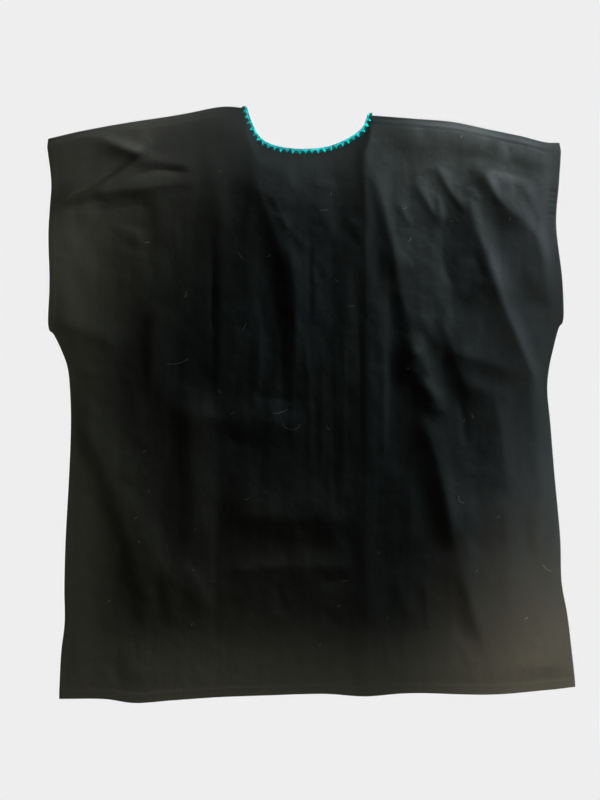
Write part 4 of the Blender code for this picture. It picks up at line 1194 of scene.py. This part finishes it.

# %% [markdown]
# ## Turquoise thread
#
# Crochet cotton is mercerised, which makes it smooth and a little shiny. The dye takes
# unevenly, so the colour wanders along each strand. The wraps under the spikes lie in
# their shade, and that shade is painted into a mix of their own, a dark sea green. One
# paint for both would leave the spikes to be told apart by shadow alone, which a soft
# light hardly gives on threads this fine.


# %% Mix the thread
def thread(name, dark, light):
    """Smooth thread whose colour wanders between two colours, from uneven dye; the wraps' darker copy is
    painted shade.
    """
    material, tree, shader = new_material(name)
    place = add(tree, "ShaderNodeTexCoord").outputs["Object"]
    patches = stretched_noise(tree, place, (260.0, 260.0, 260.0), 2.0)
    fibres = stretched_noise(tree, place, (4200.0, 4200.0, 4200.0), 2.0)
    tone = weighed(tree, patches, 0.7, fibres, 0.3)
    tree.links.new(between(tree, tone, dark, light, 0.36, 0.58), shader.inputs["Base Color"])
    tree.links.new(bumped(tree, fibres, 0.4, 0.00008), shader.inputs["Normal"])
    shader.inputs["Roughness"].default_value = 0.60
    shader.inputs["Specular IOR Level"].default_value = 0.15
    return material


# %% Dye the crochet and paint the shade on its wraps
turquoise = thread("turquoise_thread", (0.0, 0.15, 0.18), (0.0, 1.0, 0.98))
# The wraps' thread is painted shade: a darker copy of the turquoise, for the shade under the spikes.
wraps_painted_shade = thread("painted_shade_thread", (0.0, 0.025, 0.022), (0.0, 0.11, 0.10))
crochet.data.materials.append(turquoise)
# The wraps take the painted shade.
crochet_wraps.data.materials.append(wraps_painted_shade)
print("crochet threads:", turquoise.name, "and", wraps_painted_shade.name)

# %% [markdown]
# ## Floor and light
#
# The blouse lies on an even pale ground. A matt white floor would show every lamp that is
# hung for the cloth as a pool of light, and the cloth's shadow beside it. So this one
# glows by itself, as a light table does, and takes no light from outside.

# %% Lay the floor
GROUND = 0.855            # brightness of the pale ground
FLOOR_DROP = 0.0004
FLOOR_REACH = 60.0        # far enough that a low view sees no edge

floor_mesh = bpy.data.meshes.new("floor")
floor_corners = [(x * FLOOR_REACH, y * FLOOR_REACH, -FLOOR_DROP)
                 for x, y in ((-1, -1), (1, -1), (1, 1), (-1, 1))]
floor_mesh.from_pydata(floor_corners, [], [(0, 1, 2, 3)])
floor = bpy.data.objects.new("floor", floor_mesh)
bpy.context.scene.collection.objects.link(floor)
floor_paint, _, floor_shader = new_material("pale_floor")
floor_shader.inputs["Base Color"].default_value = (0.0, 0.0, 0.0, 1.0)
floor_shader.inputs["Roughness"].default_value = 1.0
floor_shader.inputs["Specular IOR Level"].default_value = 0.0
floor_shader.inputs["Emission Color"].default_value = (GROUND, GROUND, GROUND, 1.0)
floor_shader.inputs["Emission Strength"].default_value = 1.0
floor_mesh.materials.append(floor_paint)
print("floor brightness", GROUND)

# %% [markdown]
# ## Light
#
# Black cloth needs a low light across it, or its folds vanish. Light from all round, as
# under a cloudy sky, would show only the outline. A cool soft window at the upper right
# rakes over the folds and leaves long shadows on their far sides. The small lamps after
# it, each with a narrow spread, lift one stretch of the cloth at a time from about 20 to
# 35 degrees up: the chest, the shoulders, the neck, the sides and the bottom.

# %% How a lamp hangs
STRENGTH = 1.43           # of every lamp, over the power that its row gives


def hang(name, place, aim, across, down, power, colour, spread):
    """A panel of light at a place, turned to the point on the cloth that it lights."""
    light = bpy.data.lights.new(name, "AREA")
    light.shape = "RECTANGLE"
    light.size, light.size_y = across, down
    light.energy = STRENGTH * power
    light.color = colour
    light.spread = math.radians(spread)
    holder = bpy.data.objects.new(name, light)
    holder.location = place
    away = Vector(place) - Vector((*aim, 0.0))
    holder.rotation_euler = away.to_track_quat("Z", "Y").to_euler()
    bpy.context.scene.collection.objects.link(holder)


# %% Hang the window and the lamps
COOL = (0.74, 0.93, 1.0)
SEA = (0.78, 1.0, 1.0)
PALE_SEA = (0.86, 1.0, 1.0)
PALEST_SEA = (0.92, 1.0, 1.0)
MILK = (0.97, 1.0, 0.96)
SAGE = (0.97, 1.0, 0.90)
OLIVE = (1.0, 0.98, 0.72)
WARM = (1.0, 0.84, 0.62)

Lamp = namedtuple("Lamp", "name place aim across down power colour spread")
LAMPS = (
    Lamp("window",             (0.84, 0.70, 0.32), (0.12, 0.10), 0.14, 0.14, 4.400, COOL, 180),
    Lamp("chest_lamp",         (1.00, 0.72, 0.42), (0.20, 0.14), 0.10, 0.10, 0.020, COOL, 10),
    Lamp("north_lamp",         (0.12, 1.12, 0.55), (-0.20, 0.38), 0.12, 0.08, 0.085, SAGE, 15),
    Lamp("east_shoulder_lamp", (1.05, 0.95, 0.60), (0.26, 0.36), 0.10, 0.10, 0.120, PALE_SEA, 15),
    Lamp("shoulder_seam_lamp", (0.42, 1.20, 0.34), (0.18, 0.34), 0.08, 0.06, 0.030, PALE_SEA, 9),
    Lamp("neck_lamp",          (0.90, 1.05, 0.70), (0.00, 0.33), 0.06, 0.06, 0.012, COOL, 5),
    Lamp("left_lamp_low",      (0.90, 0.50, 0.60), (-0.60, -0.28), 0.10, 0.10, 0.150, OLIVE, 15),
    Lamp("left_lamp_high",     (0.80, 0.75, 0.60), (-0.54, 0.04), 0.10, 0.10, 0.110, OLIVE, 15),
    Lamp("hem_lamp_left",      (0.55, 0.95, 0.72), (-0.24, -0.54), 0.10, 0.10, 0.120, OLIVE, 15),
    Lamp("hem_lamp_right",     (0.95, 0.60, 0.72), (0.17, -0.46), 0.10, 0.10, 0.160, OLIVE, 15),
    Lamp("right_lamp",         (1.05, 0.72, 0.60), (0.38, -0.04), 0.10, 0.10, 0.140, COOL, 15),
)
for row in LAMPS:
    hang(*row)
print(len(bpy.data.lights), "lights so far")

# %% [markdown]
# ## Beams on the edges
#
# The edges of the blouse are paler than its middle all the way round, since the bright
# ground throws light up beside them. A glowing floor of one tone gives little of that.
# Long narrow panels high above each edge do it in its place, and they can be set one at a
# time. The warmest stands over the lower right corner. The sky adds a faint even light,
# so that no fold is quite black.

# %% Hang the beams
Beam = namedtuple("Beam", "name x y across down power colour spread")
BEAMS = (
    Beam("left edge",        -0.370, -0.040, 0.04, 0.60, 0.165, OLIVE, 7),
    Beam("left side",        -0.370,  0.000, 0.04, 0.66, 0.034, OLIVE, 13),
    Beam("upper left",       -0.290,  0.270, 0.10, 0.12, 0.024, OLIVE, 10),
    Beam("hem",               0.000, -0.400, 0.58, 0.04, 0.150, OLIVE, 7),
    Beam("above the hem",     0.000, -0.400, 0.58, 0.04, 0.025, OLIVE, 13),
    Beam("right edge",        0.345,  0.020, 0.04, 0.60, 0.110, PALEST_SEA, 7),
    Beam("right side",        0.345,  0.020, 0.04, 0.60, 0.050, PALEST_SEA, 13),
    Beam("shoulders",         0.020,  0.395, 0.56, 0.04, 0.070, MILK, 8),
    Beam("right shoulder",    0.150,  0.395, 0.30, 0.04, 0.040, PALE_SEA, 9),
    Beam("neck",             -0.005,  0.318, 0.15, 0.05, 0.011, SEA, 5),
    Beam("right hem corner",  0.315, -0.300, 0.10, 0.16, 0.160, WARM, 8),
)
BEAM_HEIGHT = 2.60
for beam in BEAMS:
    hang(beam.name, (beam.x, beam.y, BEAM_HEIGHT), (beam.x, beam.y), beam.across, beam.down,
         beam.power, beam.colour, beam.spread)
power = sum(light.energy for light in bpy.data.lights)
print(len(bpy.data.lights), "lights in all,", round(power, 2), "W")

# %% Set the sky
SKY = (1.0, 1.0, 0.82)
SKY_STRENGTH = 0.028

world = bpy.data.worlds.new("studio")
bpy.context.scene.world = world
world.use_nodes = True
sky = world.node_tree.nodes["Background"]
sky.inputs["Color"].default_value = (*SKY, 1.0)
sky.inputs["Strength"].default_value = SKY_STRENGTH
bpy.context.scene.view_settings.view_transform = "Standard"
print("sky strength", SKY_STRENGTH)

# %% [markdown]
# ## Tie the pieces to the frame
#
# Every piece rides on the one rigid body. The panels and the crochet stand for their plain
# solids, which are hidden.

# %% Attach the pieces and hide the plain solids
for piece in (back_cloth, front_cloth, crochet, crochet_wraps, stitches, lint):
    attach(piece, "root")
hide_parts("back_panel")
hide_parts("front_panel")
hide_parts("neck_edging")

# %% Update the scene
bpy.context.view_layer.update()
